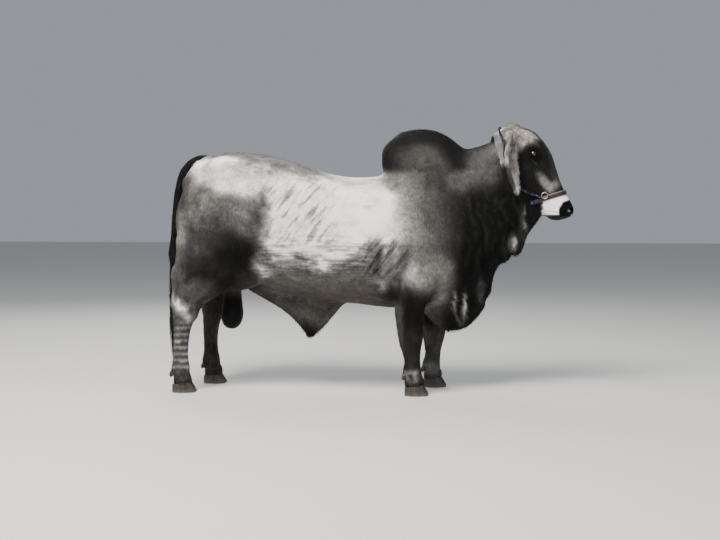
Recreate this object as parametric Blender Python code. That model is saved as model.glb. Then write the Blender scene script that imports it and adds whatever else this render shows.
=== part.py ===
# A life-size grey Brahman bull, standing, with its halter. Metres, +Z up, +X towards the head.
# The bull's own left is +Y. Clay pieces are fused, rounded, thinned to few faces and parted with thin cuts.
import math
import random
from collections import namedtuple

import bmesh
import bpy
import numpy as np
from mathutils import Matrix, Vector
from mathutils.bvhtree import BVHTree

# Driving sizes
GAP = 0.0003            # left between solids that touch
CUT_GAP = 0.0004        # left where one solid is carved clear of another
CORE_GRAIN = 0.014      # grid that fuses the great masses
BODY_GRAIN = 0.008      # grid that fuses the limbs and folds on to them
HEAD_GRAIN = 0.0036
BODY_FACES = 5900
HEAD_FACES = 2700
RING_POINTS = 32

EYE_RADIUS = 0.0205
EYE_SEGMENTS = 14
EAR_LENGTH = 0.328
FLOOR = -0.03           # level of the soles in the tables below
CORONET_HEIGHT = 0.066
FORE_FOOT_STEP = 0.100  # how far the left fore foot stands ahead of the right
HIND_FOOT_STEP = 0.100
TAIL_LOCKS = 8
TAIL_END_X = -1.287
SWITCH_END = 0.045
STRAP_WIDTH = 0.026
STRAP_THICKNESS = 0.0055
STRAP_LIFT = 0.0015      # the halter's clearance from the skin
ROPE_RADIUS = 0.0080

SIDES = {"right": -1, "left": 1}

# Head frame: u runs from the poll to the muzzle, v to the front of the face, w to the bull's left
HEAD_ORIGIN = Vector((0.885, 0.0, 1.595))
HEAD_AXIS = Vector((0.60, 0.0, -0.80))
HEAD_FRONT = Vector((0.80, 0.0, 0.60))

# Head, dewlap and neck all meet in this line across the bull, behind the jaw
JAW_CORNER = Vector((0.872, 0.0, 1.255))
NAPE_WAY = Vector((-0.26, 0.0, 1.0))      # from that line up to behind the poll
JAW_WAY = Vector((1.0, 0.0, -0.80))       # forward under the jaw
CHEST_WAY = Vector((-0.472, 0.0, -0.662))  # down and back to the chest floor

COLOURS = {
    "coat_light": (0.62, 0.60, 0.57), "coat_dark": (0.075, 0.07, 0.07), "coat_grey": (0.26, 0.25, 0.24),
    "horn": (0.05, 0.045, 0.04), "eye": (0.02, 0.012, 0.008), "switch": (0.015, 0.014, 0.014),
    "skin": (0.06, 0.05, 0.05), "strap": (0.06, 0.02, 0.02), "rope": (0.03, 0.04, 0.10),
    "metal": (0.55, 0.55, 0.56),
}

# One slice across the trunk: where it is, its top, widest level and foot, its half width,
# and how full it is above and below (2 is an ellipse, more is squarer)
Slice = namedtuple("Slice", "x top widest foot half_width back belly")

TRUNK = [
    Slice(-1.175, 1.30, 1.16, 1.02, 0.11, 2.0, 2.0),
    Slice(-1.145, 1.41, 1.20, 0.88, 0.19, 2.0, 2.0),
    Slice(-1.08, 1.465, 1.21, 0.80, 0.245, 2.0, 2.1),
    Slice(-0.97, 1.495, 1.20, 0.74, 0.280, 2.1, 2.1),
    Slice(-0.84, 1.505, 1.17, 0.68, 0.300, 2.2, 2.2),
    Slice(-0.71, 1.492, 1.13, 0.64, 0.315, 2.2, 2.2),
    Slice(-0.58, 1.460, 1.07, 0.605, 0.325, 2.1, 2.2),
    Slice(-0.45, 1.420, 1.01, 0.580, 0.342, 2.0, 2.2),
    Slice(-0.32, 1.376, 0.96, 0.555, 0.358, 2.0, 2.2),
    Slice(-0.16, 1.338, 0.92, 0.535, 0.370, 2.0, 2.2),
    Slice(0.00, 1.335, 0.90, 0.515, 0.370, 2.0, 2.2),
    Slice(0.14, 1.350, 0.89, 0.505, 0.350, 1.9, 2.2),
    Slice(0.28, 1.380, 0.89, 0.500, 0.318, 1.9, 2.1),
    Slice(0.42, 1.400, 0.90, 0.500, 0.280, 1.9, 2.0),
    Slice(0.56, 1.380, 0.92, 0.530, 0.225, 1.9, 2.0),
    Slice(0.68, 1.250, 0.94, 0.620, 0.140, 2.0, 2.0),
]

HUMP = [
    Slice(0.086, 1.488, 1.438, 1.398, 0.035, 2.0, 2.0),
    Slice(0.092, 1.515, 1.432, 1.375, 0.072, 2.0, 2.0),
    Slice(0.112, 1.542, 1.420, 1.330, 0.105, 2.0, 2.0),
    Slice(0.150, 1.575, 1.400, 1.240, 0.132, 1.9, 2.0),
    Slice(0.212, 1.617, 1.360, 1.120, 0.160, 1.8, 2.0),
    Slice(0.314, 1.637, 1.300, 1.000, 0.192, 1.75, 2.0),
    Slice(0.422, 1.623, 1.260, 0.960, 0.208, 1.75, 2.0),
    Slice(0.505, 1.585, 1.230, 0.940, 0.204, 1.75, 2.0),
    Slice(0.575, 1.532, 1.210, 0.940, 0.190, 1.8, 2.0),
    Slice(0.660, 1.478, 1.200, 0.960, 0.165, 1.9, 2.0),
    Slice(0.760, 1.440, 1.220, 1.040, 0.120, 2.0, 2.0),
]

# The head's slices use u for x, and v for the heights
SKULL = [
    Slice(-0.060, 0.015, -0.040, -0.095, 0.060, 2.2, 2.0),
    Slice(-0.040, 0.050, -0.010, -0.115, 0.090, 2.3, 2.0),
    Slice(0.000, 0.086, 0.020, -0.130, 0.108, 2.4, 2.0),
    Slice(0.058, 0.122, 0.040, -0.145, 0.116, 2.5, 1.9),
    Slice(0.120, 0.141, 0.050, -0.158, 0.121, 2.6, 1.9),
    Slice(0.190, 0.145, 0.048, -0.168, 0.118, 2.6, 1.9),
    Slice(0.260, 0.136, 0.036, -0.168, 0.104, 2.5, 1.9),
    Slice(0.330, 0.113, 0.016, -0.158, 0.090, 2.4, 2.0),
    Slice(0.400, 0.088, -0.006, -0.148, 0.080, 2.3, 2.1),
    Slice(0.460, 0.072, -0.022, -0.142, 0.076, 2.4, 2.2),
    Slice(0.510, 0.062, -0.028, -0.136, 0.079, 2.5, 2.4),
    Slice(0.550, 0.058, -0.024, -0.120, 0.083, 2.6, 2.5),
    Slice(0.585, 0.053, -0.018, -0.092, 0.082, 2.6, 2.5),
    Slice(0.615, 0.042, -0.010, -0.062, 0.070, 2.6, 2.5),
    Slice(0.634, 0.022, -0.006, -0.036, 0.045, 2.5, 2.4),
]

# One ring of a limb: centre, half length fore and aft, half width to the sides
Ring = namedtuple("Ring", "x y z fore side")

FORELEG = [
    Ring(0.385, 0.150, 1.02, 0.120, 0.060),
    Ring(0.345, 0.205, 0.86, 0.150, 0.085),
    Ring(0.318, 0.226, 0.74, 0.142, 0.090),
    Ring(0.296, 0.226, 0.64, 0.124, 0.084),
    Ring(0.276, 0.216, 0.545, 0.100, 0.074),
    Ring(0.274, 0.208, 0.465, 0.088, 0.065),
    Ring(0.278, 0.203, 0.395, 0.080, 0.061),
    Ring(0.281, 0.200, 0.335, 0.077, 0.063),
    Ring(0.283, 0.200, 0.285, 0.068, 0.055),
    Ring(0.288, 0.200, 0.235, 0.056, 0.045),
    Ring(0.292, 0.200, 0.175, 0.049, 0.041),
    Ring(0.292, 0.200, 0.125, 0.056, 0.050),
    Ring(0.298, 0.200, 0.085, 0.052, 0.049),
    Ring(0.306, 0.200, 0.045, 0.058, 0.056),
    Ring(0.312, 0.200, 0.005, 0.060, 0.057),
]

HINDLEG = [
    Ring(-0.940, 0.120, 1.12, 0.150, 0.060),
    Ring(-0.955, 0.175, 0.98, 0.235, 0.105),
    Ring(-0.985, 0.200, 0.84, 0.238, 0.118),
    Ring(-1.040, 0.210, 0.73, 0.196, 0.106),
    Ring(-1.095, 0.213, 0.640, 0.146, 0.086),
    Ring(-1.132, 0.213, 0.565, 0.110, 0.067),
    Ring(-1.148, 0.213, 0.500, 0.090, 0.059),
    Ring(-1.162, 0.213, 0.430, 0.068, 0.053),
    Ring(-1.174, 0.213, 0.350, 0.052, 0.046),
    Ring(-1.180, 0.213, 0.265, 0.047, 0.042),
    Ring(-1.182, 0.213, 0.185, 0.048, 0.042),
    Ring(-1.183, 0.213, 0.130, 0.058, 0.052),
    Ring(-1.178, 0.213, 0.088, 0.053, 0.050),
    Ring(-1.170, 0.213, 0.045, 0.058, 0.057),
    Ring(-1.164, 0.213, 0.005, 0.060, 0.058),
]

NECK = [
    Ring(0.34, 0.0, 1.02, 0.36, 0.250),
    Ring(0.52, 0.0, 1.100, 0.365, 0.222),
    Ring(0.68, 0.0, 1.205, 0.325, 0.186),
    Ring(0.80, 0.0, 1.320, 0.262, 0.155),
    Ring(0.885, 0.0, 1.405, 0.200, 0.130),
    Ring(0.945, 0.0, 1.455, 0.150, 0.112),
]

TAIL = [
    Ring(-0.990, 0.0, 1.418, 0.045, 0.050),
    Ring(-1.065, 0.0, 1.441, 0.043, 0.044),
    Ring(-1.135, 0.0, 1.428, 0.038, 0.038),
    Ring(-1.192, 0.0, 1.378, 0.034, 0.034),
    Ring(-1.230, 0.0, 1.300, 0.028, 0.030),
    Ring(-1.252, 0.0, 1.180, 0.025, 0.027),
    Ring(-1.268, 0.0, 1.040, 0.022, 0.024),
    Ring(-1.278, 0.0, 0.900, 0.019, 0.021),
    Ring(-1.281, 0.0, 0.780, 0.017, 0.018),
    Ring(-1.282, 0.0, 0.680, 0.015, 0.016),
]

SCROTUM = [
    Ring(-0.885, 0.0, 0.800, 0.080, 0.075),
    Ring(-0.890, 0.0, 0.700, 0.064, 0.062),
    Ring(-0.892, 0.0, 0.610, 0.058, 0.058),
    Ring(-0.892, 0.0, 0.540, 0.061, 0.070),
    Ring(-0.892, 0.0, 0.460, 0.068, 0.082),
    Ring(-0.897, 0.0, 0.400, 0.060, 0.072),
    Ring(-0.903, 0.0, 0.362, 0.030, 0.040),
]

# A hanging fold of skin: its free rim, the line inside the body that it hangs from, and both half thicknesses
Fold = namedtuple("Fold", "rim_x rim_z root_x root_z rim root sway")

DEWLAP = [
    Fold(1.085, 1.085, 1.060, 1.200, 0.016, 0.030, 0.000),
    Fold(1.052, 1.034, 1.000, 1.200, 0.020, 0.050, 0.000),
    Fold(1.010, 0.978, 0.930, 1.160, 0.018, 0.070, 0.004),
    Fold(0.990, 0.920, 0.870, 1.100, 0.017, 0.080, 0.008),
    Fold(0.965, 0.862, 0.820, 1.050, 0.017, 0.090, 0.006),
    Fold(0.902, 0.828, 0.760, 1.000, 0.018, 0.100, -0.004),
    Fold(0.830, 0.774, 0.700, 0.950, 0.020, 0.105, -0.008),
    Fold(0.784, 0.706, 0.650, 0.900, 0.022, 0.110, -0.003),
    Fold(0.770, 0.620, 0.600, 0.820, 0.024, 0.115, 0.005),
    Fold(0.745, 0.540, 0.560, 0.740, 0.028, 0.115, 0.008),
    Fold(0.700, 0.455, 0.500, 0.680, 0.033, 0.115, 0.004),
    Fold(0.625, 0.385, 0.460, 0.640, 0.038, 0.115, -0.002),
    Fold(0.545, 0.360, 0.420, 0.620, 0.042, 0.110, 0.000),
    Fold(0.470, 0.368, 0.380, 0.600, 0.040, 0.105, 0.000),
    Fold(0.400, 0.430, 0.330, 0.600, 0.034, 0.095, 0.000),
    Fold(0.330, 0.490, 0.290, 0.600, 0.030, 0.080, 0.000),
]

SHEATH = [
    Fold(-0.120, 0.545, -0.140, 0.640, 0.030, 0.090, 0.0),
    Fold(-0.175, 0.508, -0.200, 0.640, 0.028, 0.085, 0.0),
    Fold(-0.235, 0.440, -0.270, 0.640, 0.030, 0.080, 0.0),
    Fold(-0.295, 0.378, -0.340, 0.640, 0.034, 0.075, 0.0),
    Fold(-0.348, 0.332, -0.400, 0.640, 0.034, 0.070, 0.0),
    Fold(-0.400, 0.330, -0.450, 0.640, 0.034, 0.070, 0.0),
    Fold(-0.448, 0.382, -0.500, 0.640, 0.032, 0.070, 0.0),
    Fold(-0.512, 0.443, -0.560, 0.650, 0.026, 0.070, 0.0),
    Fold(-0.610, 0.512, -0.640, 0.660, 0.022, 0.070, 0.0),
    Fold(-0.700, 0.562, -0.720, 0.670, 0.022, 0.070, 0.0),
    Fold(-0.800, 0.620, -0.800, 0.700, 0.022, 0.060, 0.0),
]


def clear_scene():
    for obj in list(bpy.data.objects):
        bpy.data.objects.remove(obj)


def object_from(name, bm):
    mesh = bpy.data.meshes.new(name)
    bm.to_mesh(mesh)
    bm.free()
    obj = bpy.data.objects.new(name, mesh)
    bpy.context.scene.collection.objects.link(obj)
    return obj


def discard(*objects):
    for obj in objects:
        bpy.data.objects.remove(obj)


def apply_modifiers(obj):
    bpy.context.view_layer.update()
    graph = bpy.context.evaluated_depsgraph_get()
    mesh = bpy.data.meshes.new_from_object(obj.evaluated_get(graph), depsgraph=graph)
    obj.modifiers.clear()
    obj.data = mesh
    return obj


def faces_of(obj):
    return sum(len(face.vertices) - 2 for face in obj.data.polygons)


def between(rows, steps):
    """Rows read off a smooth curve through the given ones, so many to each span."""
    table = np.array(rows, float)
    slopes = np.gradient(table, axis=0)
    made = []
    for i in range(len(table) - 1):
        for k in range(steps):
            t = k / steps
            a, b = 2 * t**3 - 3 * t**2 + 1, t**3 - 2 * t**2 + t
            c, d = 3 * t**2 - 2 * t**3, t**3 - t**2
            made.append(a * table[i] + b * slopes[i] + c * table[i + 1] + d * slopes[i + 1])
    made.append(table[-1])
    return [type(rows[0])(*row) for row in made]


def loft(name, rings):
    """A closed body through rings of points that all have the same count."""
    bm = bmesh.new()
    loops = [[bm.verts.new(point) for point in ring] for ring in rings]
    for first, second in zip(loops, loops[1:]):
        for i, corner in enumerate(first):
            j = (i + 1) % len(first)
            bm.faces.new((corner, first[j], second[j], second[i]))
    bm.faces.new(loops[0])
    bm.faces.new(loops[-1])
    bmesh.ops.recalc_face_normals(bm, faces=bm.faces)
    return object_from(name, bm)


def bowed(value, fullness):
    """A sine or cosine bowed outwards, as on a superellipse."""
    return math.copysign(abs(value) ** (2 / fullness), value)


def trunk(name, slices, steps=3):
    rings = []
    for s in between(slices, steps):
        ring = []
        for i in range(RING_POINTS):
            turn = 2 * math.pi * i / RING_POINTS
            up, side = math.cos(turn), math.sin(turn)
            fullness = s.back if up > 0 else s.belly
            height = s.top - s.widest if up > 0 else s.widest - s.foot
            ring.append(Vector((s.x, s.half_width * bowed(side, fullness), s.widest + height * bowed(up, fullness))))
        rings.append(ring)
    return loft(name, rings)


def tube(name, rows, side=1, steps=3, points=RING_POINTS):
    """A limb through rings set across its own path. side mirrors it to the bull's right."""
    rows = between(rows, steps)
    centres = [Vector((r.x, r.y * side, r.z)) for r in rows]
    rings = []
    for i, r in enumerate(rows):
        along = (centres[min(i + 1, len(rows) - 1)] - centres[max(i - 1, 0)]).normalized()
        across = Vector((0, 1, 0))
        ahead = across.cross(along).normalized()
        rings.append([
            centres[i]
            + ahead * r.fore * math.cos(2 * math.pi * k / points)
            + across * r.side * math.sin(2 * math.pi * k / points)
            for k in range(points)
        ])
    return loft(name, rings)


def hanging_fold(name, folds, steps=3, points=9):
    """A sheet from a line inside the body out to a rounded free rim."""
    rings = []
    for f in between(folds, steps):
        root, rim = Vector((f.root_x, 0, f.root_z)), Vector((f.rim_x, 0, f.rim_z))
        outward = (rim - root).normalized()
        reach = (rim - root).length - f.rim
        ring = []
        for side in (1, -1):
            for k in range(points):
                share = k / (points - 1) if side > 0 else 1 - k / (points - 1)
                half = f.root + (f.rim - f.root) * share**0.85
                point = root + outward * reach * share
                ring.append(point + Vector((0, side * half + f.sway * share, 0)))
            if side > 0:
                for k in range(1, 6):
                    turn = math.pi * k / 6
                    point = root + outward * (reach + f.rim * math.sin(turn))
                    ring.append(point + Vector((0, f.rim * math.cos(turn) + f.sway, 0)))
        rings.append(ring)
    return loft(name, rings)


def ellipsoid(name, centre, radii, pitch=0.0, yaw=0.0, roll=0.0):
    """pitch tips its length up or down, yaw turns it about the vertical, roll about its length. Degrees."""
    bm = bmesh.new()
    bmesh.ops.create_icosphere(bm, subdivisions=4, radius=1.0)
    turn = (
        Matrix.Translation(centre)
        @ Matrix.Rotation(math.radians(yaw), 4, "Z")
        @ Matrix.Rotation(math.radians(pitch), 4, "Y")
        @ Matrix.Rotation(math.radians(roll), 4, "X")
        @ Matrix.Diagonal((*radii, 1.0))
    )
    bmesh.ops.transform(bm, matrix=turn, verts=bm.verts)
    return object_from(name, bm)


def joined(name, objects):
    bm = bmesh.new()
    for obj in objects:
        bm.from_mesh(obj.data)
    return object_from(name, bm)


def fused(name, objects, grain, rounds, factor=0.5):
    """One skin over all the pieces, with the creases between them rounded off."""
    obj = joined(name, objects)
    skin = obj.modifiers.new("Fuse", "REMESH")
    skin.mode = "VOXEL"
    skin.voxel_size = grain
    ease = obj.modifiers.new("Round", "SMOOTH")
    ease.factor = factor
    ease.iterations = rounds
    return apply_modifiers(obj)


def thinned(obj, faces):
    few = obj.modifiers.new("Thin", "DECIMATE")
    few.ratio = faces / faces_of(obj)
    return apply_modifiers(obj)


def largest_body(obj):
    """Keep only the largest closed surface of a mesh."""
    bm = bmesh.new()
    bm.from_mesh(obj.data)
    unseen, bodies = set(bm.verts), []
    while unseen:
        stack, body = [unseen.pop()], []
        while stack:
            vert = stack.pop()
            body.append(vert)
            for edge in vert.link_edges:
                other = edge.other_vert(vert)
                if other in unseen:
                    unseen.remove(other)
                    stack.append(other)
        bodies.append(body)
    bodies.sort(key=len)
    for body in bodies[:-1]:
        bmesh.ops.delete(bm, geom=body, context="VERTS")
    bm.to_mesh(obj.data)
    bm.free()
    return obj


def boolean(obj, other, operation):
    change = obj.modifiers.new("Shape", "BOOLEAN")
    change.operation = operation
    change.solver = "EXACT"
    change.object = other
    apply_modifiers(obj)
    return obj


def copy_of(obj, name, grow=0.0):
    """A copy, its surface moved out by a small clearance."""
    bm = bmesh.new()
    bm.from_mesh(obj.data)
    if grow:
        bm.normal_update()
        for vert in bm.verts:
            vert.co += vert.normal * grow * min(vert.calc_shell_factor(), 2.0)
    return object_from(name, bm)


def sliced(obj, name, point, normal, gap=GAP):
    """The part of a closed mesh on the side that normal points to, closed again with a flat face."""
    normal = Vector(normal).normalized()
    bm = bmesh.new()
    bm.from_mesh(obj.data)
    bmesh.ops.bisect_plane(
        bm, geom=bm.verts[:] + bm.edges[:] + bm.faces[:], dist=1e-7,
        plane_co=Vector(point) + normal * gap / 2, plane_no=normal, clear_inner=True,
    )
    rim = [edge for edge in bm.edges if edge.is_boundary]
    made = bmesh.ops.holes_fill(bm, edges=rim, sides=0)["faces"]
    bmesh.ops.triangulate(bm, faces=made)
    bmesh.ops.recalc_face_normals(bm, faces=bm.faces)
    return object_from(name, bm)


def box(name, low, high, tilt=0.0):
    """A cutter between two corners, tipped about its own middle."""
    low, high = Vector(low), Vector(high)
    middle, size = (low + high) / 2, high - low
    bm = bmesh.new()
    bmesh.ops.create_cube(bm, size=1.0)
    turn = Matrix.Translation(middle) @ Matrix.Rotation(math.radians(tilt), 4, "Y") @ Matrix.Diagonal((*size, 1.0))
    bmesh.ops.transform(bm, matrix=turn, verts=bm.verts)
    return object_from(name, bm)


def parted(body, name, region):
    """Cut the piece inside a region off the body. The region shrinks a little for it, which leaves the gap."""
    piece = copy_of(body, name)
    inner = copy_of(region, "inner", -GAP / 2)
    outer = copy_of(region, "outer", GAP / 2)
    boolean(piece, inner, "INTERSECT")
    boolean(body, outer, "DIFFERENCE")
    largest_body(piece)
    largest_body(body)
    discard(inner, outer, region)
    return piece


def head_point(u, v, w=0.0):
    return HEAD_ORIGIN + HEAD_AXIS * u + HEAD_FRONT * v + Vector((0, w, 0))


def head_matrix():
    """Turns the head's own frame, with its length along X, into the bull's."""
    return Matrix((
        (HEAD_AXIS.x, 0, HEAD_FRONT.x, HEAD_ORIGIN.x),
        (0, 1, 0, 0),
        (HEAD_AXIS.z, 0, HEAD_FRONT.z, HEAD_ORIGIN.z),
        (0, 0, 0, 1),
    ))


def head_ellipsoid(name, u, v, w, radii, pitch=0.0, yaw=0.0, roll=0.0):
    obj = ellipsoid(name, (u, w, v), radii, pitch, yaw, roll)
    obj.data.transform(head_matrix())
    return obj


def leg_rows(kind, side_name):
    """The bull's left feet stand ahead of the right ones, and the shift fades out up each left leg."""
    rows = FORELEG if kind == "fore" else HINDLEG
    if side_name == "right":
        return rows
    return [r._replace(x=r.x + foot_shift(kind, side_name, r.z)) for r in rows]


def foot_shift(kind, side_name, z):
    if side_name == "right":
        return 0.0
    if kind == "fore":
        return float(np.interp(z, (-0.03, 0.12, 0.33, 0.85), (FORE_FOOT_STEP - 0.01, FORE_FOOT_STEP, 0.125, 0.0)))
    return float(np.interp(z, (-0.03, 0.45, 0.85), (HIND_FOOT_STEP, 0.085, 0.0)))


def great_masses():
    pieces = [trunk("barrel", TRUNK), trunk("hump_clay", HUMP), tube("neck_clay", NECK)]
    for side in SIDES.values():
        pieces += [
            ellipsoid("shoulder", (0.385, side * 0.185, 1.03), (0.33, 0.100, 0.165), pitch=62, yaw=side * -3),
            ellipsoid("upper_arm", (0.46, side * 0.195, 0.83), (0.225, 0.100, 0.130), pitch=-38),
            ellipsoid("triceps", (0.31, side * 0.222, 0.86), (0.185, 0.100, 0.170), pitch=-50),
            ellipsoid("round", (-0.985, side * 0.170, 1.02), (0.235, 0.130, 0.33), pitch=-8),
            ellipsoid("stifle", (-0.83, side * 0.205, 0.86), (0.15, 0.098, 0.20), pitch=25),
            ellipsoid("flank_fold", (-0.725, side * 0.215, 0.725), (0.19, 0.046, 0.095), pitch=-24, yaw=side * 8),
            ellipsoid("hook_bone", (-0.70, side * 0.205, 1.325), (0.13, 0.090, 0.085), pitch=-15),
            ellipsoid("loin", (-0.48, side * 0.10, 1.365), (0.26, 0.11, 0.06), pitch=18),
            ellipsoid("pin_bone", (-1.125, side * 0.100, 1.285), (0.075, 0.07, 0.09)),
        ]
    pieces.append(ellipsoid("breast", (0.53, 0, 0.76), (0.20, 0.18, 0.24), pitch=-30))
    core = fused("core", pieces, CORE_GRAIN, 34, 0.6)
    discard(*pieces)
    return core


def leg_clay(kind, side_name):
    side = SIDES[side_name]
    pieces = [tube(kind + "_clay", leg_rows(kind, side_name), side)]
    if kind == "fore":
        lumps = (
            ("elbow", (0.215, 0.238, 0.655), (0.060, 0.050, 0.085), 15),
            ("forearm", (0.295, 0.236, 0.56), (0.082, 0.054, 0.13), 0),
            ("knee_cap", (0.310, 0.202, 0.335), (0.048, 0.054, 0.064), 0),
            ("knee_back", (0.232, 0.200, 0.352), (0.032, 0.034, 0.040), 0),
            ("fetlock_back", (0.262, 0.200, 0.112), (0.030, 0.044, 0.030), 0),
        )
    else:
        lumps = (
            ("hock_point", (-1.214, 0.213, 0.548), (0.032, 0.030, 0.060), 12),
            ("hamstring", (-1.208, 0.213, 0.660), (0.028, 0.036, 0.120), -4),
            ("hock_front", (-1.100, 0.213, 0.485), (0.040, 0.046, 0.075), 12),
            ("fetlock_back", (-1.212, 0.213, 0.118), (0.030, 0.046, 0.030), 0),
        )
    for name, (x, y, z), radii, pitch in lumps:
        x += foot_shift(kind, side_name, z)
        pieces.append(ellipsoid(name, (x, side * y, z), radii, pitch=pitch))
    return pieces


def fine_masses():
    pieces = [
        trunk("hump_top", HUMP), hanging_fold("dewlap_clay", DEWLAP), hanging_fold("sheath_clay", SHEATH),
        tube("scrotum_clay", SCROTUM), skull_clay(),
    ]
    for side_name, side in SIDES.items():
        for kind in ("fore", "hind"):
            pieces += leg_clay(kind, side_name)
        pieces += [
            ellipsoid("testis", (-0.894, side * 0.034, 0.445), (0.062, 0.047, 0.080)),
        ]
    return pieces


def skull_clay():
    skull = trunk("skull", SKULL)
    skull.data.transform(head_matrix())
    return skull


def skin_folds(obj):
    """Loose skin: folds that run down the neck and the dewlap, and across the lower shoulder."""
    mesh = obj.data
    count = len(mesh.vertices)
    points = np.empty(count * 3, np.float32)
    normals = np.empty(count * 3, np.float32)
    mesh.vertices.foreach_get("co", points)
    mesh.vertex_normals.foreach_get("vector", normals)
    points, normals = points.reshape(-1, 3).astype(float), normals.reshape(-1, 3)
    x, y, z = points.T
    # Distance across the folds: they fan out from the hump, steep at the shoulder and slack at the throat
    lean = 0.62 * (x - 0.50)
    across = x + lean * (z - 1.0) + 0.02 * np.sin(9.0 * z + 2.0) + 0.012 * np.sin(23.0 * z)
    waves = np.cos(2 * math.pi * across / 0.082 + 0.9 * np.sin(5.0 * z))
    ridge = np.sign(waves) * np.abs(waves) ** 0.8
    on_neck = bump(x, 0.50, 0.62, 0.92, 1.05) * bump(z, 0.40, 0.62, 1.28, 1.46)
    below = np.clip((1.25 - z) / 0.5, 0.25, 1.0)
    depth = 0.0075 * on_neck * below * ridge
    points += normals * depth[:, None]
    mesh.vertices.foreach_set("co", points.astype(np.float32).ravel())
    mesh.update()


def bump(value, start, full, still, end):
    """0 before start, 1 from full to still, 0 past end, eased between."""
    up = np.clip((value - start) / (full - start), 0, 1)
    down = np.clip((end - value) / (end - still), 0, 1)
    share = np.minimum(up, down)
    return share * share * (3 - 2 * share)


def build_flesh():
    """The whole bull but its tail, ears and hooves, as one fine closed skin."""
    core = great_masses()
    pieces = fine_masses()
    body = fused("flesh", [core, *pieces], BODY_GRAIN, 9, 0.5)
    discard(core, *pieces)
    skin_folds(body)
    return body


def front_of(way):
    """The normal of a parting plane that runs along a way and straight across the bull."""
    return Vector((0, 1, 0)).cross(way).normalized()


def almond(name, centre, outward, along, length, height, depth):
    """A cutter with an almond outline, pushed in along the eye's own axis."""
    outward, along = outward.normalized(), along.normalized()
    up = outward.cross(along).normalized()
    outline = []
    count = 7
    for side in (1, -1):
        for k in range(count):
            share = k / count
            x = length * (share - 0.5) * side
            y = height * 0.5 * math.sin(math.pi * share) ** 0.8 * side
            outline.append(along * x + up * y)
    rings = [[centre + p * scale + outward * d for p in outline] for d, scale in ((0.0, 0.8), (depth, 1.25))]
    return loft(name, rings)


def eye_centre(side):
    return head_point(0.186, 0.043, side * 0.1045)


def eye_outward(side):
    return (Vector((0, side, 0)) + HEAD_FRONT * 0.30 - HEAD_AXIS * 0.02).normalized()


def section(objects, point, normal, far, half_width=0.0):
    """The convex loop that a tight band of some width would follow round meshes, in its own plane."""
    point, normal = Vector(point), Vector(normal).normalized()
    first = Vector((0, 1, 0))
    second = normal.cross(first).normalized()
    found = []
    for obj in objects:
        verts = [v.co for v in obj.data.vertices]
        ends = [(verts[edge.vertices[0]], verts[edge.vertices[1]]) for edge in obj.data.edges]
        for level in (-half_width, 0.0, half_width):
            middle = point + normal * level
            for a, b in ends:
                da, db = (a - middle).dot(normal), (b - middle).dot(normal)
                if (da < 0) == (db < 0):
                    continue
                hit = a.lerp(b, da / (da - db))
                if (hit - point).length < far:
                    found.append(((hit - point).dot(first), (hit - point).dot(second)))
    found = sorted(set(found))
    hull = []
    for sweep in (found, found[::-1]):
        half = []
        for p in sweep:
            while len(half) > 1 and turns_right(half[-2], half[-1], p):
                half.pop()
            half.append(p)
        hull += half[:-1]
    return [point + first * a + second * b for a, b in hull]


def turns_right(a, b, c):
    return (b[0] - a[0]) * (c[1] - a[1]) - (b[1] - a[1]) * (c[0] - a[0]) <= 0


def even_loop(points, count):
    """So many points, evenly spaced round a closed outline."""
    ends = points[1:] + points[:1]
    lengths = [(b - a).length for a, b in zip(points, ends)]
    total = sum(lengths)
    made = []
    for k in range(count):
        want, i = total * k / count, 0
        while want > lengths[i]:
            want -= lengths[i]
            i += 1
        made.append(points[i].lerp(ends[i], want / lengths[i]))
    return made


def band(name, path, normal, offset, half_width, half_thickness):
    """A strap along a loop in a plane: its flat side lies on the loop, and offset lifts it off."""
    normal = Vector(normal).normalized()
    middle = sum(path, Vector()) / len(path)
    rings = []
    for i, p in enumerate(path):
        out = (path[(i + 1) % len(path)] - path[i - 1]).cross(normal).normalized()
        if out.dot(p - middle) < 0:
            out = -out
        centre = p + out * (offset + half_thickness)
        corners = ((1, 0.62), (0.8, 1), (-0.8, 1), (-1, 0.62), (-1, -1), (1, -1))
        rings.append([centre + normal * half_width * a + out * half_thickness * b for a, b in corners])
    return ring_of(name, rings)


def ring_of(name, rings):
    """A closed hoop through rings of points."""
    bm = bmesh.new()
    loops = [[bm.verts.new(point) for point in ring] for ring in rings]
    for n, first in enumerate(loops):
        second = loops[(n + 1) % len(loops)]
        for i, corner in enumerate(first):
            j = (i + 1) % len(first)
            bm.faces.new((corner, first[j], second[j], second[i]))
    bmesh.ops.recalc_face_normals(bm, faces=bm.faces)
    return object_from(name, bm)


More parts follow.
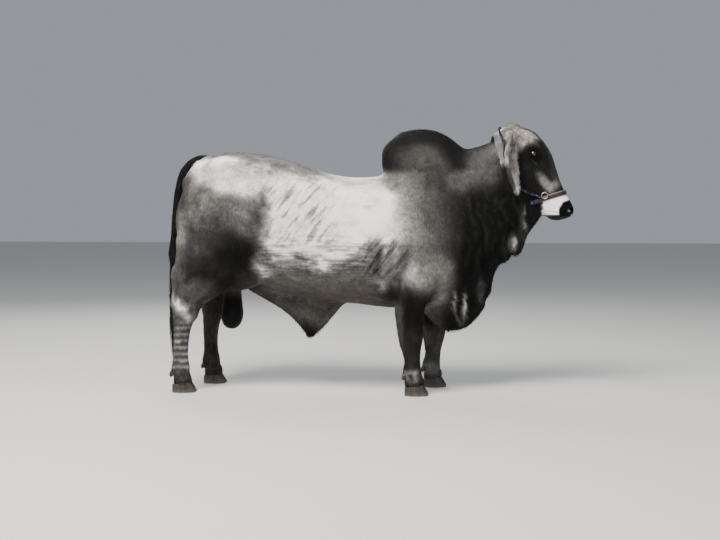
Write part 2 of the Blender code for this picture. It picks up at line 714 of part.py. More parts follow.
def build_head(flesh):
    """The front of the flesh again, on a finer grid, with the features of the face laid on."""
    nape, jaw = front_of(NAPE_WAY), -front_of(JAW_WAY)
    back = sliced(flesh, "back", JAW_CORNER - nape * 0.06, nape)
    rough = sliced(back, "rough", JAW_CORNER - jaw * 0.06, jaw)
    large, small = [rough, head_ellipsoid("poll_top", 0.000, 0.030, 0, (0.062, 0.094, 0.052))], []
    for side in SIDES.values():
        centre = eye_centre(side)
        large += [
            head_ellipsoid("orbit", 0.180, 0.050, side * 0.094, (0.064, 0.036, 0.050)),
            head_ellipsoid("brow", 0.140, 0.080, side * 0.098, (0.062, 0.028, 0.026), pitch=6),
            head_ellipsoid("cheek", 0.225, -0.052, side * 0.070, (0.112, 0.041, 0.074)),
            head_ellipsoid("cheek_bone", 0.292, 0.004, side * 0.081, (0.120, 0.020, 0.034), pitch=-6, yaw=side * -9),
            head_ellipsoid("jaw_bone", 0.330, -0.085, side * 0.057, (0.135, 0.030, 0.052), pitch=4, yaw=side * -5),
            head_ellipsoid("ear_root", 0.020, -0.010, side * 0.112, (0.044, 0.058, 0.042)),
            ellipsoid("ear_stem", head_point(0.022, -0.010, side * 0.112) + Vector((0.010, side * 0.060, -0.012)),
                      (0.031, 0.027, 0.037)),
        ]
        small += [
            ellipsoid("eye_lids", centre, (EYE_RADIUS + 0.0048,) * 3),
            head_ellipsoid("nostril_rim", 0.585, 0.015, side * 0.048, (0.038, 0.028, 0.032), pitch=-10),
            head_ellipsoid("upper_lip", 0.560, -0.040, side * 0.050, (0.050, 0.034, 0.050)),
        ]
    small += [
        ellipsoid("chin", (1.185, 0, 1.090), (0.060, 0.048, 0.030)),
        head_ellipsoid("nose_pad", 0.600, 0.004, 0, (0.037, 0.058, 0.042)),
    ]
    skull = fused("skull", large, HEAD_GRAIN * 1.4, 26, 0.5)
    head = fused("head_clay", [skull, *small], HEAD_GRAIN, 12, 0.5)
    discard(back, skull, *large, *small)
    return head


def open_face(head):
    """Eye sockets with lids, nostrils and the line of the mouth."""
    lip = Vector((1.272, 0, 1.094))
    mouth_normal = Vector((0.13, 0, 1.0)).normalized()
    outline = even_loop(section([head], lip, mouth_normal, 0.17), 44)
    lips = ordered_by_side([p for p in outline if p.x > 1.138])
    middle = lip - Vector((0.13, 0, 0))
    rings = []
    for i, p in enumerate(lips):
        out = p - middle
        out -= mouth_normal * out.dot(mouth_normal)
        out.normalize()
        share = math.sin(math.pi * i / (len(lips) - 1)) ** 0.4
        depth, half = 0.010 * share + 0.002, 0.0022 * share + 0.0008
        rings.append([p - out * depth, p + mouth_normal * half, p + out * 0.012, p - mouth_normal * half])
    cutters = [loft("mouth_line", rings)]
    for side in SIDES.values():
        centre, outward = eye_centre(side), eye_outward(side)
        along = (HEAD_AXIS * 0.96 - HEAD_FRONT * 0.22) * side
        cutters += [
            ball("socket", centre, EYE_RADIUS + 0.0006, EYE_SEGMENTS),
            almond("eye_opening", centre + outward * EYE_RADIUS * 0.40, outward, along, 0.050, 0.031, 0.04),
            nostril("nostril", side),
        ]
    for cutter in cutters:
        boolean(head, cutter, "DIFFERENCE")
    discard(*cutters)
    return largest_body(head)


def ordered_by_side(points):
    """Points round the muzzle from the bull's right corner of the mouth to its left."""
    def around(p):
        return math.atan2(p.y, p.x - 1.10)

    return sorted(points, key=around)


def nostril(name, side):
    """A comma-shaped opening that runs back and inwards."""
    half_heights = (0.0030, 0.0085, 0.0115, 0.0122, 0.0110, 0.0085, 0.0055, 0.0022)
    rows = []
    for k, radius in enumerate(half_heights):
        share = k / (len(half_heights) - 1)
        turn = share * math.pi * 0.75
        swing = math.sin(turn)
        middle = head_point(0.618 - 0.044 * share, 0.037 - 0.026 * swing, side * (0.033 + 0.021 * swing))
        rows.append((middle, radius))
    rings = []
    outward = (Vector((0, side, 0)) * 0.75 + HEAD_AXIS * 0.65).normalized()
    for depth, grow in ((0.022, 1.35), (-0.004, 1.0), (-0.014, 0.6)):
        ring = []
        for middle, radius in rows:
            ring.append(middle + HEAD_FRONT * radius * grow + outward * depth)
        for middle, radius in reversed(rows):
            ring.append(middle - HEAD_FRONT * radius * grow + outward * depth)
        rings.append(ring)
    return loft(name, rings)


def ball(name, centre, radius, segments):
    bm = bmesh.new()
    bmesh.ops.create_uvsphere(
        bm, u_segments=segments, v_segments=segments // 2, radius=radius,
        matrix=Matrix.Translation(centre) @ Matrix.Rotation(math.pi / 2, 4, "X"),
    )
    return object_from(name, bm)


def ear(name, side):
    """A long hanging ear: a curved leaf rolled into a cup at its root and nearly flat at its tip."""
    root = head_point(0.022, -0.010, side * 0.112)
    spine = [
        root,
        root + Vector((-0.006, side * 0.040, 0.000)),
        root + Vector((-0.002, side * 0.072, -0.032)),
        root + Vector((-0.012, side * 0.084, -0.105)),
        root + Vector((0.012, side * 0.086, -0.195)),
        root + Vector((0.032, side * 0.083, -0.268)),
        root + Vector((0.045, side * 0.081, -EAR_LENGTH)),
    ]
    half_widths = (0.050, 0.053, 0.060, 0.068, 0.050, 0.035, 0.010)
    curls = (300, 270, 210, 140, 95, 75, 60)
    walls = (0.011, 0.010, 0.0075, 0.006, 0.0055, 0.005, 0.004)
    Leaf = namedtuple("Leaf", "x y z half curl wall")
    rows = between([Leaf(*row[0], *row[1:]) for row in zip(spine, half_widths, curls, walls)], 2)
    points = [Vector((r.x, r.y, r.z)) for r in rows]
    # The cup faces forwards and a little outwards
    facing = Vector((0.80, side * 0.60, 0.0)).normalized()
    rings = []
    for i, r in enumerate(rows):
        along = (points[min(i + 1, len(points) - 1)] - points[max(i - 1, 0)]).normalized()
        across = along.cross(facing).normalized()
        inward = across.cross(along).normalized()
        curl = math.radians(r.curl)
        radius = 2 * r.half / curl
        outer, inner = [], []
        for k in range(7):
            share = k / 3 - 1
            turn = share * curl / 2
            wall = r.wall * (1 - 0.4 * abs(share))
            out = across * math.sin(turn) - inward * math.cos(turn)
            spot = points[i] + inward * radius * 0.75
            outer.append(spot + out * (radius + wall / 2))
            inner.append(spot + out * max(radius - wall / 2, 0.001))
        rings.append(outer + inner[::-1])
    return loft(name, rings)


def claw(name, foot_x, foot_y, inner_side, toe_length, heel_x):
    """One of the two toes of a hoof: flat sole, straight inner wall, sloping front."""
    gap = 0.0035
    half = toe_length / 2
    rings = []
    for height, shrink, lift in ((0.0, 0.985, 0.0), (0.008, 1.0, 0.1), (0.032, 0.93, 0.5), (0.060, 0.84, 1.0)):
        ring = []
        for k in range(14):
            turn = 2 * math.pi * k / 14
            front = math.cos(turn)
            x = heel_x + half + half * front - (1 - shrink) * (front + 1) * half * 1.5
            taper = 1 - 0.38 * max(0.0, front) ** 2
            y = gap + (math.sin(turn) * 0.5 + 0.5) * 0.056 * taper * (1 - 0.06 * lift)
            z = FLOOR + height + lift * 0.010 * front
            ring.append(Vector((foot_x + x, foot_y + inner_side * y, z)))
        rings.append(ring)
    return loft(name, rings)


def dewclaw(name, centre, side):
    """A short blunt cone of horn that points down and back."""
    rings = []
    for share, radius in ((0.0, 0.014), (0.45, 0.0160), (0.8, 0.0125), (1.0, 0.0070)):
        middle = Vector(centre) + Vector((-0.017 * share, side * 0.005 * share, -0.028 * share))
        rings.append([
            middle + Vector((-0.65 * radius * math.cos(t), radius * math.sin(t), 0.76 * radius * math.cos(t)))
            for t in (2 * math.pi * k / 8 for k in range(8))
        ])
    return loft(name, rings)


def lock(name, path, width, thickness):
    """A flat tapered lock of hair along a path."""
    rings = []
    for i, p in enumerate(path):
        along = (path[min(i + 1, len(path) - 1)] - path[max(i - 1, 0)]).normalized()
        outward = Vector((p.x - TAIL_END_X - 0.004, p.y, 0))
        outward = (outward - along * outward.dot(along)).normalized()
        across = along.cross(outward)
        share = i / (len(path) - 1)
        full = math.sin(math.pi * min(1.0, 0.25 + 0.8 * (1 - share))) if share > 0.2 else 0.8
        half = max(0.0008, width * full * (1 - 0.75 * share))
        flat = max(0.0006, thickness * (1 - 0.7 * share))
        rings.append([p + across * half, p + outward * flat, p - across * half, p - outward * flat])
    return loft(name, rings)


def surface_near(tree, point, offset):
    place, normal = tree.find_nearest(point)[:2]
    return place + normal * offset, normal


def along_points(points, steps):
    Spot = namedtuple("Spot", "x y z")
    return [Vector(p) for p in between([Spot(*p) for p in points], steps)]


def build_halter(nodes):
    """Noseband, a rope from each ring back along the jaw and up behind the ears, and the two rings."""
    head, neck = node_named(nodes, "head"), node_named(nodes, "neck")
    skins = [head, neck, node_named(nodes, "dewlap"), node_named(nodes, "ear_left"), node_named(nodes, "ear_right")]
    middle = head_point(0.462, 0.0)
    across = HEAD_AXIS * 0.943 - HEAD_FRONT * 0.331
    loop = even_loop(section([head], middle, across, 0.3, STRAP_WIDTH / 2), 30)
    noseband = band("noseband", loop, across, STRAP_LIFT, STRAP_WIDTH / 2, STRAP_THICKNESS / 2)

    whole = joined("whole", skins[:3])
    tree = BVHTree.FromPolygons([v.co for v in whole.data.vertices], [p.vertices for p in whole.data.polygons])
    discard(whole)
    half = [
        (0.436, -0.080, 0.11), (0.405, -0.108, 0.12), (0.350, -0.132, 0.13), (0.285, -0.150, 0.15),
        (0.210, -0.165, 0.17), (0.130, -0.160, 0.18), (0.055, -0.130, 0.18), (-0.015, -0.085, 0.15),
        (-0.060, -0.045, 0.10),
    ]
    guide = [head_point(u, v, -w) for u, v, w in half] + [head_point(-0.085, -0.010, 0.0)]
    guide += [head_point(u, v, w) for u, v, w in half[::-1]]
    guide = rounded_path(along_points(guide, 2), 1)
    rope = laid_rope("rope", tree, guide, ROPE_RADIUS, ROPE_RADIUS + STRAP_LIFT)

    pieces = [noseband, rope]
    for side_name, side in SIDES.items():
        lift = STRAP_THICKNESS + STRAP_LIFT + 0.0055
        spot, normal = surface_near(tree, head_point(0.437, -0.060, side * 0.12), lift)
        pieces.append(hoop("ring_" + side_name, spot, normal, 0.019, 0.0034))
    for n, piece in enumerate(pieces):
        for other in [*skins, *pieces[n + 1:]]:
            around = copy_of(other, "around", CUT_GAP)
            boolean(piece, around, "DIFFERENCE")
            discard(around)
        largest_body(piece)
    looks = (("strap", 0.5, 0.0), ("rope", 0.8, 0.0), ("metal", 0.3, 1.0), ("metal", 0.3, 1.0))
    for piece, look in zip(pieces, looks):
        nodes.append(finish(piece, "halter_" + piece.name, *look))


def rounded_path(points, rounds):
    for _ in range(rounds):
        eased = [(a + b * 2 + c) / 4 for a, b, c in zip(points, points[1:], points[2:])]
        points = [points[0], *eased, points[-1]]
    return points


def laid_rope(name, tree, guide, radius, lift):
    """A round rope over guide points, each put down on the surface under it, and then drawn smooth."""
    spots = [surface_near(tree, p, lift)[0] for p in guide]
    for _ in range(4):
        spots = rounded_path(spots, 2)
        for i, p in enumerate(spots):
            place, normal = tree.find_nearest(p)[:2]
            short = lift - (p - place).dot(normal)
            if short > 0:
                spots[i] = p + normal * short
    rings = []
    second = Vector((0, 0, 1))
    for i, p in enumerate(spots):
        along = (spots[min(i + 1, len(spots) - 1)] - spots[max(i - 1, 0)]).normalized()
        first = along.cross(second).normalized()
        second = first.cross(along).normalized()
        rings.append([
            p + (first * math.cos(t) + second * math.sin(t)) * radius for t in (2 * math.pi * k / 7 for k in range(7))
        ])
    return loft(name, rings)


def hoop(name, centre, normal, radius, wire):
    normal = normal.normalized()
    first = normal.cross(Vector((0, 0, 1))).normalized()
    second = normal.cross(first)
    rings = []
    for k in range(14):
        turn = 2 * math.pi * k / 14
        out = first * math.cos(turn) + second * math.sin(turn)
        rings.append([
            centre + out * (radius + wire * math.cos(t)) + normal * wire * math.sin(t)
            for t in (2 * math.pi * j / 6 for j in range(6))
        ])
    return ring_of(name, rings)


def tail_switch():
    """The brush at the end of the tail: a short core, with locks fused round it."""
    rng = random.Random(7)
    rows = [
        Ring(-1.282, 0, 0.800, 0.017, 0.018),
        Ring(-1.282, 0, 0.700, 0.016, 0.017),
        Ring(-1.284, 0, 0.600, 0.021, 0.024),
        Ring(-1.286, 0, 0.480, 0.025, 0.030),
        Ring(-1.287, 0, 0.370, 0.019, 0.024),
        Ring(-1.288, 0, 0.280, 0.006, 0.008),
    ]
    core = tube("switch_core", rows, steps=1, points=12)
    locks = []
    for n in range(TAIL_LOCKS):
        turn = 2 * math.pi * n * 0.381966
        start = 0.60 - 0.20 * n / TAIL_LOCKS
        end = max(SWITCH_END + 0.012 * n, start - 0.42)
        spread = 0.031 + 0.008 * rng.random()
        path = []
        for k in range(6):
            share = k / 5
            radius = 0.010 + (spread - 0.010) * math.sin(math.pi * min(1.0, share * 1.15)) ** 0.9
            twist = turn + 0.35 * math.sin(share * 3.0 + n)
            path.append(Vector((
                TAIL_END_X + radius * math.cos(twist) * 0.75, radius * math.sin(twist), start + (end - start) * share,
            )))
        locks.append(lock("lock", path, 0.019, 0.005))
    group = bpy.data.collections.new("Locks")
    for obj in locks:
        group.objects.link(obj)
    change = core.modifiers.new("Join", "BOOLEAN")
    change.operation = "UNION"
    change.operand_type = "COLLECTION"
    change.collection = group
    change.solver = "EXACT"
    apply_modifiers(core)
    discard(*locks)
    bpy.data.collections.remove(group)
    return largest_body(core)


def material(name, colour, roughness, metallic=0.0):
    made = bpy.data.materials.get(name)
    if made:
        return made
    made = bpy.data.materials.new(name)
    made.use_nodes = True
    shader = made.node_tree.nodes["Principled BSDF"]
    shader.inputs["Base Color"].default_value = (*colour, 1.0)
    shader.inputs["Roughness"].default_value = roughness
    shader.inputs["Metallic"].default_value = metallic
    made.diffuse_color = (*colour, 1.0)
    return made


def finish(obj, name, colour, roughness=0.7, metallic=0.0):
    obj.name = name
    obj.data.materials.clear()
    obj.data.materials.append(material(colour, COLOURS[colour], roughness, metallic))
    if obj.type == "MESH":
        obj.data.shade_smooth()
        obj.data.set_sharp_from_angle(angle=math.radians(40))
    return obj


def centre_on_floor(nodes):
    """Put the middle of the whole box over the origin. The soles are already at z = 0."""
    low = Vector((1e9,) * 3)
    high = Vector((-1e9,) * 3)
    for obj in nodes:
        for vert in obj.data.vertices:
            low = Vector(map(min, low, vert.co))
            high = Vector(map(max, high, vert.co))
    shift = -(low + high) / 2
    shift.z = -low.z
    for obj in nodes:
        obj.data.transform(Matrix.Translation(shift))
    print("shift", tuple(round(v, 5) for v in shift))


def foot_place(kind, side_name):
    last = leg_rows(kind, side_name)[-2]
    return last.x, last.y * SIDES[side_name]


def node_named(nodes, name):
    return next(obj for obj in nodes if obj.name == name)


def build_foot(kind, side_name, lower, nodes):
    """Two claws under the leg's end and two dewclaws behind it."""
    foot_x, foot_y = foot_place(kind, side_name)
    side = SIDES[side_name]
    around = copy_of(lower, "around", CUT_GAP)
    for place, inner in (("outer", side), ("inner", -side)):
        toe = claw("toe", foot_x, foot_y, inner, 0.150, -0.062)
        cap = sliced(toe, "cap", (foot_x, foot_y, FLOOR + CORONET_HEIGHT), (0.16, 0, -1))
        discard(toe)
        nodes.append(finish(cap, f"hoof_{kind}_{side_name}_{place}", "horn", 0.45))
        spur = dewclaw("spur", (foot_x - 0.058, foot_y + inner * 0.027, FLOOR + 0.130), inner)
        boolean(spur, around, "DIFFERENCE")
        nodes.append(finish(largest_body(spur), f"dewclaw_{kind}_{side_name}_{place}", "horn", 0.45))
    discard(around)


def build_legs(body, nodes):
    for kind in ("fore", "hind"):
        for side_name, side in SIDES.items():
            name = f"{kind}leg_{side_name}"
            foot_x, foot_y = foot_place(kind, side_name)
            if kind == "fore":
                region = box("region", (0.13, side * 0.34 - 0.235, -0.2), (0.57, side * 0.34 + 0.235, 0.60))
            else:
                region = box("region", (-1.6, side * 0.34 - 0.235, -0.2), (-0.85, side * 0.34 + 0.235, 0.69))
            whole = parted(body, name, region)
            knee_z = 0.40 if kind == "fore" else 0.46
            upper = sliced(whole, name + "_upper", (0, 0, knee_z), (0, 0, 1))
            below = sliced(whole, "below", (0, 0, knee_z), (0, 0, -1))
            lower = sliced(below, name + "_lower", (foot_x, foot_y, FLOOR + CORONET_HEIGHT), (-0.16, 0, 1))
            discard(whole, below)
            nodes.append(finish(largest_body(upper), name, "coat_dark"))
            nodes.append(finish(largest_body(lower), name + "_lower", "coat_grey"))
            build_foot(kind, side_name, lower, nodes)


def build_tail(body, nodes):
    around = copy_of(body, "around", CUT_GAP)
    tail = tube("tail", TAIL, steps=2, points=14)
    boolean(tail, around, "DIFFERENCE")
    largest_body(tail)
    end = Vector((TAIL_END_X, 0, 0.72))
    dock = sliced(tail, "tail", end, (0, 0, 1))
    discard(tail)
    whole = tail_switch()
    brush = sliced(whole, "tail_switch", end, (0, 0, -1))
    discard(whole, around)
    nodes.append(finish(dock, "tail", "coat_dark"))
    nodes.append(finish(brush, "tail_switch", "switch"))


def main():
    clear_scene()
    nodes = []
    flesh = build_flesh()
    head = build_head(flesh)
    nape, jaw, chest = front_of(NAPE_WAY), -front_of(JAW_WAY), -front_of(CHEST_WAY)

    thinned(head, HEAD_FACES)
    clear_of_neck = sliced(head, "front", JAW_CORNER, nape)
    discard(head)
    head = sliced(clear_of_neck, "head", JAW_CORNER, jaw)
    discard(clear_of_neck)
    head = open_face(head)
    nodes.append(finish(head, "head", "coat_grey"))

    # The body, without the head, is thinned before any exact cut
    body = thinned(flesh, BODY_FACES)
    scrotum = parted(body, "scrotum", box("region", (-1.06, -0.100, 0.2), (-0.822, 0.100, 0.655)))
    nodes.append(finish(scrotum, "scrotum", "skin"))
    sheath = parted(body, "sheath", box("region", (-0.83, -0.13, 0.18), (-0.06, 0.13, 0.565), tilt=8))
    nodes.append(finish(sheath, "sheath", "skin"))
    build_legs(body, nodes)
    build_tail(body, nodes)

    front = sliced(body, "front", JAW_CORNER, chest)
    dewlap = sliced(front, "dewlap", JAW_CORNER, -jaw)
    back = sliced(body, "back", JAW_CORNER, -chest)
    behind = sliced(back, "behind", JAW_CORNER, -nape)
    discard(body, front, back)
    nodes.append(finish(largest_body(dewlap), "dewlap", "coat_dark"))
    neck_plane = (0.60, 0, 1.30), (0.97, 0, -0.22)
    neck = sliced(behind, "neck", *neck_plane)
    torso = sliced(behind, "torso", neck_plane[0], (-neck_plane[1][0], 0, -neck_plane[1][2]))
    discard(behind)
    hump = parted(torso, "hump", box("region", (0.02, -0.4, 1.39), (0.9, 0.4, 1.9)))
    nodes += [
        finish(largest_body(neck), "neck", "coat_dark"), finish(hump, "hump", "coat_grey"),
        finish(largest_body(torso), "torso", "coat_light"),
    ]

    for side_name, side in SIDES.items():
        eye = ball("eye", eye_centre(side), EYE_RADIUS, EYE_SEGMENTS)
        nodes.append(finish(eye, "eye_" + side_name, "eye", 0.08))
        leaf = ear("leaf", side)
        around = copy_of(nodes[0], "around", CUT_GAP)
        boolean(leaf, around, "DIFFERENCE")
        discard(around)
        nodes.append(finish(largest_body(leaf), "ear_" + side_name, "coat_light"))
    build_halter(nodes)
    centre_on_floor(nodes)
    for obj in nodes:
        print(obj.name, faces_of(obj))
    print("total", sum(faces_of(obj) for obj in nodes))
    return nodes


if __name__ == "__main__":
    main()
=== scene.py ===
import math
import bpy
import bmesh
import numpy as np
from mathutils import Matrix, Vector
from mathutils.bvhtree import BVHTree


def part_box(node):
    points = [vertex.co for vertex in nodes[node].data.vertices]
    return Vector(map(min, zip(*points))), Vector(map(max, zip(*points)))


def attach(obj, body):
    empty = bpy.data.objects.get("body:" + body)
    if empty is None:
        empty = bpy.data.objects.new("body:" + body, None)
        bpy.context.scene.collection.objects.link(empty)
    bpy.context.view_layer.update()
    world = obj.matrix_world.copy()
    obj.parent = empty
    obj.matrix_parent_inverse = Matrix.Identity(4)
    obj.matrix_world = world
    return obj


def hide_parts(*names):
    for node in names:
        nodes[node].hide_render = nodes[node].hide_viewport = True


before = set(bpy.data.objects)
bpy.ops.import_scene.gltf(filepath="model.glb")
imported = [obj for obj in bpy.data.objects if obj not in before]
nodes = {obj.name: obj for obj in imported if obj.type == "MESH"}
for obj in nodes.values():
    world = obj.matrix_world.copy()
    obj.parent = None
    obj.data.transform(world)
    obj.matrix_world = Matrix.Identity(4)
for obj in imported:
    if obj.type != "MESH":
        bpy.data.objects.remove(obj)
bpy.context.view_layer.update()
print("frame loaded:", len(nodes), "nodes")

# Directions of the head: down the nose, and out through the forehead, from a root near the poll
headDown = np.array((0.60, 0.0, -0.80))
headFront = np.array((0.80, 0.0, 0.60))
sides = {"right": -1, "left": 1}
eyeShape = {
    "down": 0.186, "front": 0.043, "across": 0.1045, "radius": 0.0205,
    "halfLength": 0.0215, "halfHeight": 0.0125, "lid": 0.0026, "pit": 0.004, "fill": 0.0022,
}
eyeMiddle = sum(np.array(corner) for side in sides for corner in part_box("eye_" + side)) / 4
headRoot = eyeMiddle - headDown * eyeShape["down"] - headFront * eyeShape["front"]


def headPlace(down, front, across=0.0):
    return headRoot + headDown * down + headFront * front + np.array((0.0, across, 0.0))


def headCoords(points):
    offset = points - headRoot
    return offset @ headDown, offset @ headFront, points[:, 1]


def unit(vectors):
    return vectors / np.maximum(np.linalg.norm(vectors, axis=-1, keepdims=True), 1e-9)


def ease(value, start, end):
    share = np.clip((value - start) / (end - start), 0.0, 1.0)
    return share * share * (3 - 2 * share)


def window(value, start, full, still, end):
    return ease(value, start, full) * (1 - ease(value, still, end))


def blob(points, centre, radii, soft=0.5, pitch=0.0):
    # A soft ellipsoid mask on both sides, 1 inside and 0 outside, pitched about the cross axis
    dx, dy, dz = points[:, 0] - centre[0], np.abs(points[:, 1]) - centre[1], points[:, 2] - centre[2]
    turn = math.radians(pitch)
    along = dx * math.cos(turn) + dz * math.sin(turn)
    up = dz * math.cos(turn) - dx * math.sin(turn)
    far = np.sqrt((along / radii[0]) ** 2 + (dy / radii[1]) ** 2 + (up / radii[2]) ** 2)
    return 1 - ease(far, 1 - soft, 1 + soft)


def blobHead(coords, centre, radii, soft=0.5):
    down, front, across = coords
    offsets = (down - centre[0], front - centre[1], np.abs(across) - centre[2])
    far = np.sqrt(sum((offset / radius) ** 2 for offset, radius in zip(offsets, radii)))
    return 1 - ease(far, 1 - soft, 1 + soft)


def softNoise(points, size, seed, stretch=(1, 1, 1)):
    # Smooth random values from -1 to 1, one cell of the given size
    table = np.random.default_rng(seed).uniform(-1, 1, (32, 32, 32))
    spots = points * np.array(stretch) / size + 97.3
    cell = np.floor(spots).astype(int)
    share = spots - cell
    share = share * share * (3 - 2 * share)
    total = 0
    for corner in np.ndindex(2, 2, 2):
        index = (cell + np.array(corner)) % 32
        weight = np.prod(np.where(np.array(corner) == 1, share, 1 - share), axis=1)
        total = total + weight * table[index[:, 0], index[:, 1], index[:, 2]]
    return total


def readValues(items, name, width, kind=np.float32):
    values = np.empty(len(items) * width, kind)
    items.foreach_get(name, values)
    return values.reshape(-1, width)


def meshPoints(mesh):
    return readValues(mesh.vertices, "co", 3).astype(float)


def meshNormals(mesh):
    return readValues(mesh.vertex_normals, "vector", 3).astype(float)


def setPoints(mesh, points):
    mesh.vertices.foreach_set("co", points.astype(np.float32).ravel())
    mesh.update()


def addValues(mesh, name, values):
    attribute = mesh.attributes.new(name, "FLOAT", "POINT")
    attribute.data.foreach_set("value", np.asarray(values, np.float32).ravel())


def newPiece(name, bm):
    mesh = bpy.data.meshes.new(name)
    bm.to_mesh(mesh)
    bm.free()
    piece = bpy.data.objects.new(name, mesh)
    bpy.context.scene.collection.objects.link(piece)
    mesh.shade_smooth()
    return piece


def applied(piece):
    # Puts the piece's modifiers into its mesh
    graph = bpy.context.evaluated_depsgraph_get()
    mesh = bpy.data.meshes.new_from_object(piece.evaluated_get(graph))
    old = piece.data
    piece.modifiers.clear()
    piece.data = mesh
    bpy.data.meshes.remove(old)


def nodeCopy(names, swell=0.0):
    # The CAD nodes' meshes in one, with their corners merged, each a little thicker
    bm = bmesh.new()
    for name in names:
        bm.from_mesh(nodes[name].data)
    bmesh.ops.remove_doubles(bm, verts=bm.verts, dist=0.00001)
    bm.normal_update()
    for v, way in [(v, v.normal * swell) for v in bm.verts]:
        v.co += way
    return bm


def finishPiece(piece, material, slotName, *replaced):
    piece.data.materials.clear()
    piece.data.materials.append(material)
    if replaced:
        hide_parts(*replaced)
    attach(piece, "root")


class Paint:
    # Short ways to add nodes to a material or a group, whose inputs take values or other nodes' outputs
    def __init__(self, tree):
        self.tree = tree

    def put(self, socket, value):
        if isinstance(value, bpy.types.NodeSocket):
            self.tree.links.new(value, socket)
        else:
            socket.default_value = (*value, 1) if socket.type == "RGBA" else value

    def add(self, kind, inputs, **settings):
        node = self.tree.nodes.new("ShaderNode" + kind)
        for label, value in settings.items():
            setattr(node, label, value)
        for label, value in inputs.items():
            self.put(node.inputs[label], value)
        return node

    def calc(self, operation, *values):
        node = self.add("Math", {}, operation=operation)
        for socket, value in zip(node.inputs, values):
            self.put(socket, value)
        return node.outputs[0]

    def plus(self, first, second):
        return self.calc("ADD", first, second)

    def minus(self, first, second):
        return self.calc("SUBTRACT", first, second)

    def times(self, first, second):
        return self.calc("MULTIPLY", first, second)

    def place(self):
        return self.add("TexCoord", {}).outputs["Object"]

    def read(self, name):
        return self.add("Attribute", {}, attribute_name=name).outputs["Fac"]

    def mapped(self, vector, scale, turn=0.0, kind="POINT"):
        inputs = {"Vector": vector, "Scale": scale, "Rotation": (0.0, math.radians(turn), 0.0)}
        return self.add("Mapping", inputs, vector_type=kind).outputs["Vector"]

    def noise(self, vector, scale, detail=2.0, roughness=0.5):
        inputs = {"Vector": vector, "Scale": scale, "Detail": detail, "Roughness": roughness}
        return self.add("TexNoise", inputs).outputs["Fac"]

    def mix(self, factor, first, second, kind="RGBA", blend="MIX"):
        inputs = {"Factor": factor, "A": first, "B": second}
        return self.add("Mix", inputs, data_type=kind, blend_type=blend).outputs["Result"]

    def step(self, value, start, end, high=1.0, curve="LINEAR"):
        inputs = {"Value": value, "From Min": start, "From Max": end, "To Max": high}
        return self.add("MapRange", inputs, interpolation_type=curve).outputs["Result"]

    def ramp(self, value, marks):
        node = self.add("ValToRGB", {"Fac": value})
        elements = node.color_ramp.elements
        while len(elements) < len(marks):
            elements.new(0.5)
        for element, (spot, colour) in zip(elements, marks):
            element.position = spot
            element.color = (*colour, 1)
        return node.outputs["Color"]

    def finish(self, values, height=None, strength=0.4, distance=0.0004):
        shader = self.tree.nodes["Principled BSDF"]
        for label, value in values.items():
            self.put(shader.inputs[label], value)
        if height is not None:
            bump = self.add("Bump", {"Height": height, "Strength": strength, "Distance": distance})
            self.put(shader.inputs["Normal"], bump.outputs["Normal"])


def newPaint(name):
    material = bpy.data.materials.new(name)
    material.use_nodes = True
    return material, Paint(material.node_tree)


# Camera and studio

cameraView = {"place": (0.7975, -7.459, 1.124), "turn": (87.31, 0.0, 6.44), "lens": 58.6, "sensor": 36}
studio = {
    "floor": (0.62, 0.61, 0.59), "floorHalf": 40, "floorLevel": -0.0005, "walls": (0.80, 0.86, 0.95),
    "wallsStrength": 0.40,
    "lights": (
        # name, place, size, power, colour
        ("keyLight", (-1.8, -4.6, 6.6), 3.6, 1300, (1.0, 0.97, 0.92)),
        ("fillLight", (5.2, -4.2, 2.6), 4.0, 70, (0.92, 0.96, 1.0)),
        ("rimLight", (-2.5, 4.5, 5.0), 3.5, 240, (1.0, 1.0, 1.0)),
    ),
    "aim": (0, 0, 0.9),
}


def makeCamera():
    data = bpy.data.cameras.new("photoCamera")
    data.lens = cameraView["lens"]
    data.sensor_width = cameraView["sensor"]
    camera = bpy.data.objects.new("photoCamera", data)
    camera.location = cameraView["place"]
    camera.rotation_euler = [math.radians(a) for a in cameraView["turn"]]
    bpy.context.scene.collection.objects.link(camera)
    bpy.context.scene.camera = camera


def makeLights():
    for name, place, size, power, colour in studio["lights"]:
        light = bpy.data.lights.new(name, "AREA")
        light.size = size
        light.energy = power
        light.color = colour
        lamp = bpy.data.objects.new(name, light)
        lamp.location = place
        lamp.rotation_euler = (Vector(studio["aim"]) - Vector(place)).to_track_quat("-Z", "Y").to_euler()
        bpy.context.scene.collection.objects.link(lamp)
    world = bpy.data.worlds.new("studioAir")
    world.use_nodes = True
    air = world.node_tree.nodes["Background"]
    air.inputs["Color"].default_value = (*studio["walls"], 1)
    air.inputs["Strength"].default_value = studio["wallsStrength"]
    bpy.context.scene.world = world


def makeFloor():
    bm = bmesh.new()
    bmesh.ops.create_grid(bm, x_segments=2, y_segments=2, size=studio["floorHalf"])
    floor = newPiece("studioFloor", bm)
    floor.location.z = studio["floorLevel"]
    material, paint = newPaint("floorPaint")
    paint.finish({"Base Color": studio["floor"], "Roughness": 0.85})
    floor.data.materials.append(material)


makeCamera()
makeLights()
makeFloor()
print("studio ready")


# Skin: one closed body over all the nodes of flesh

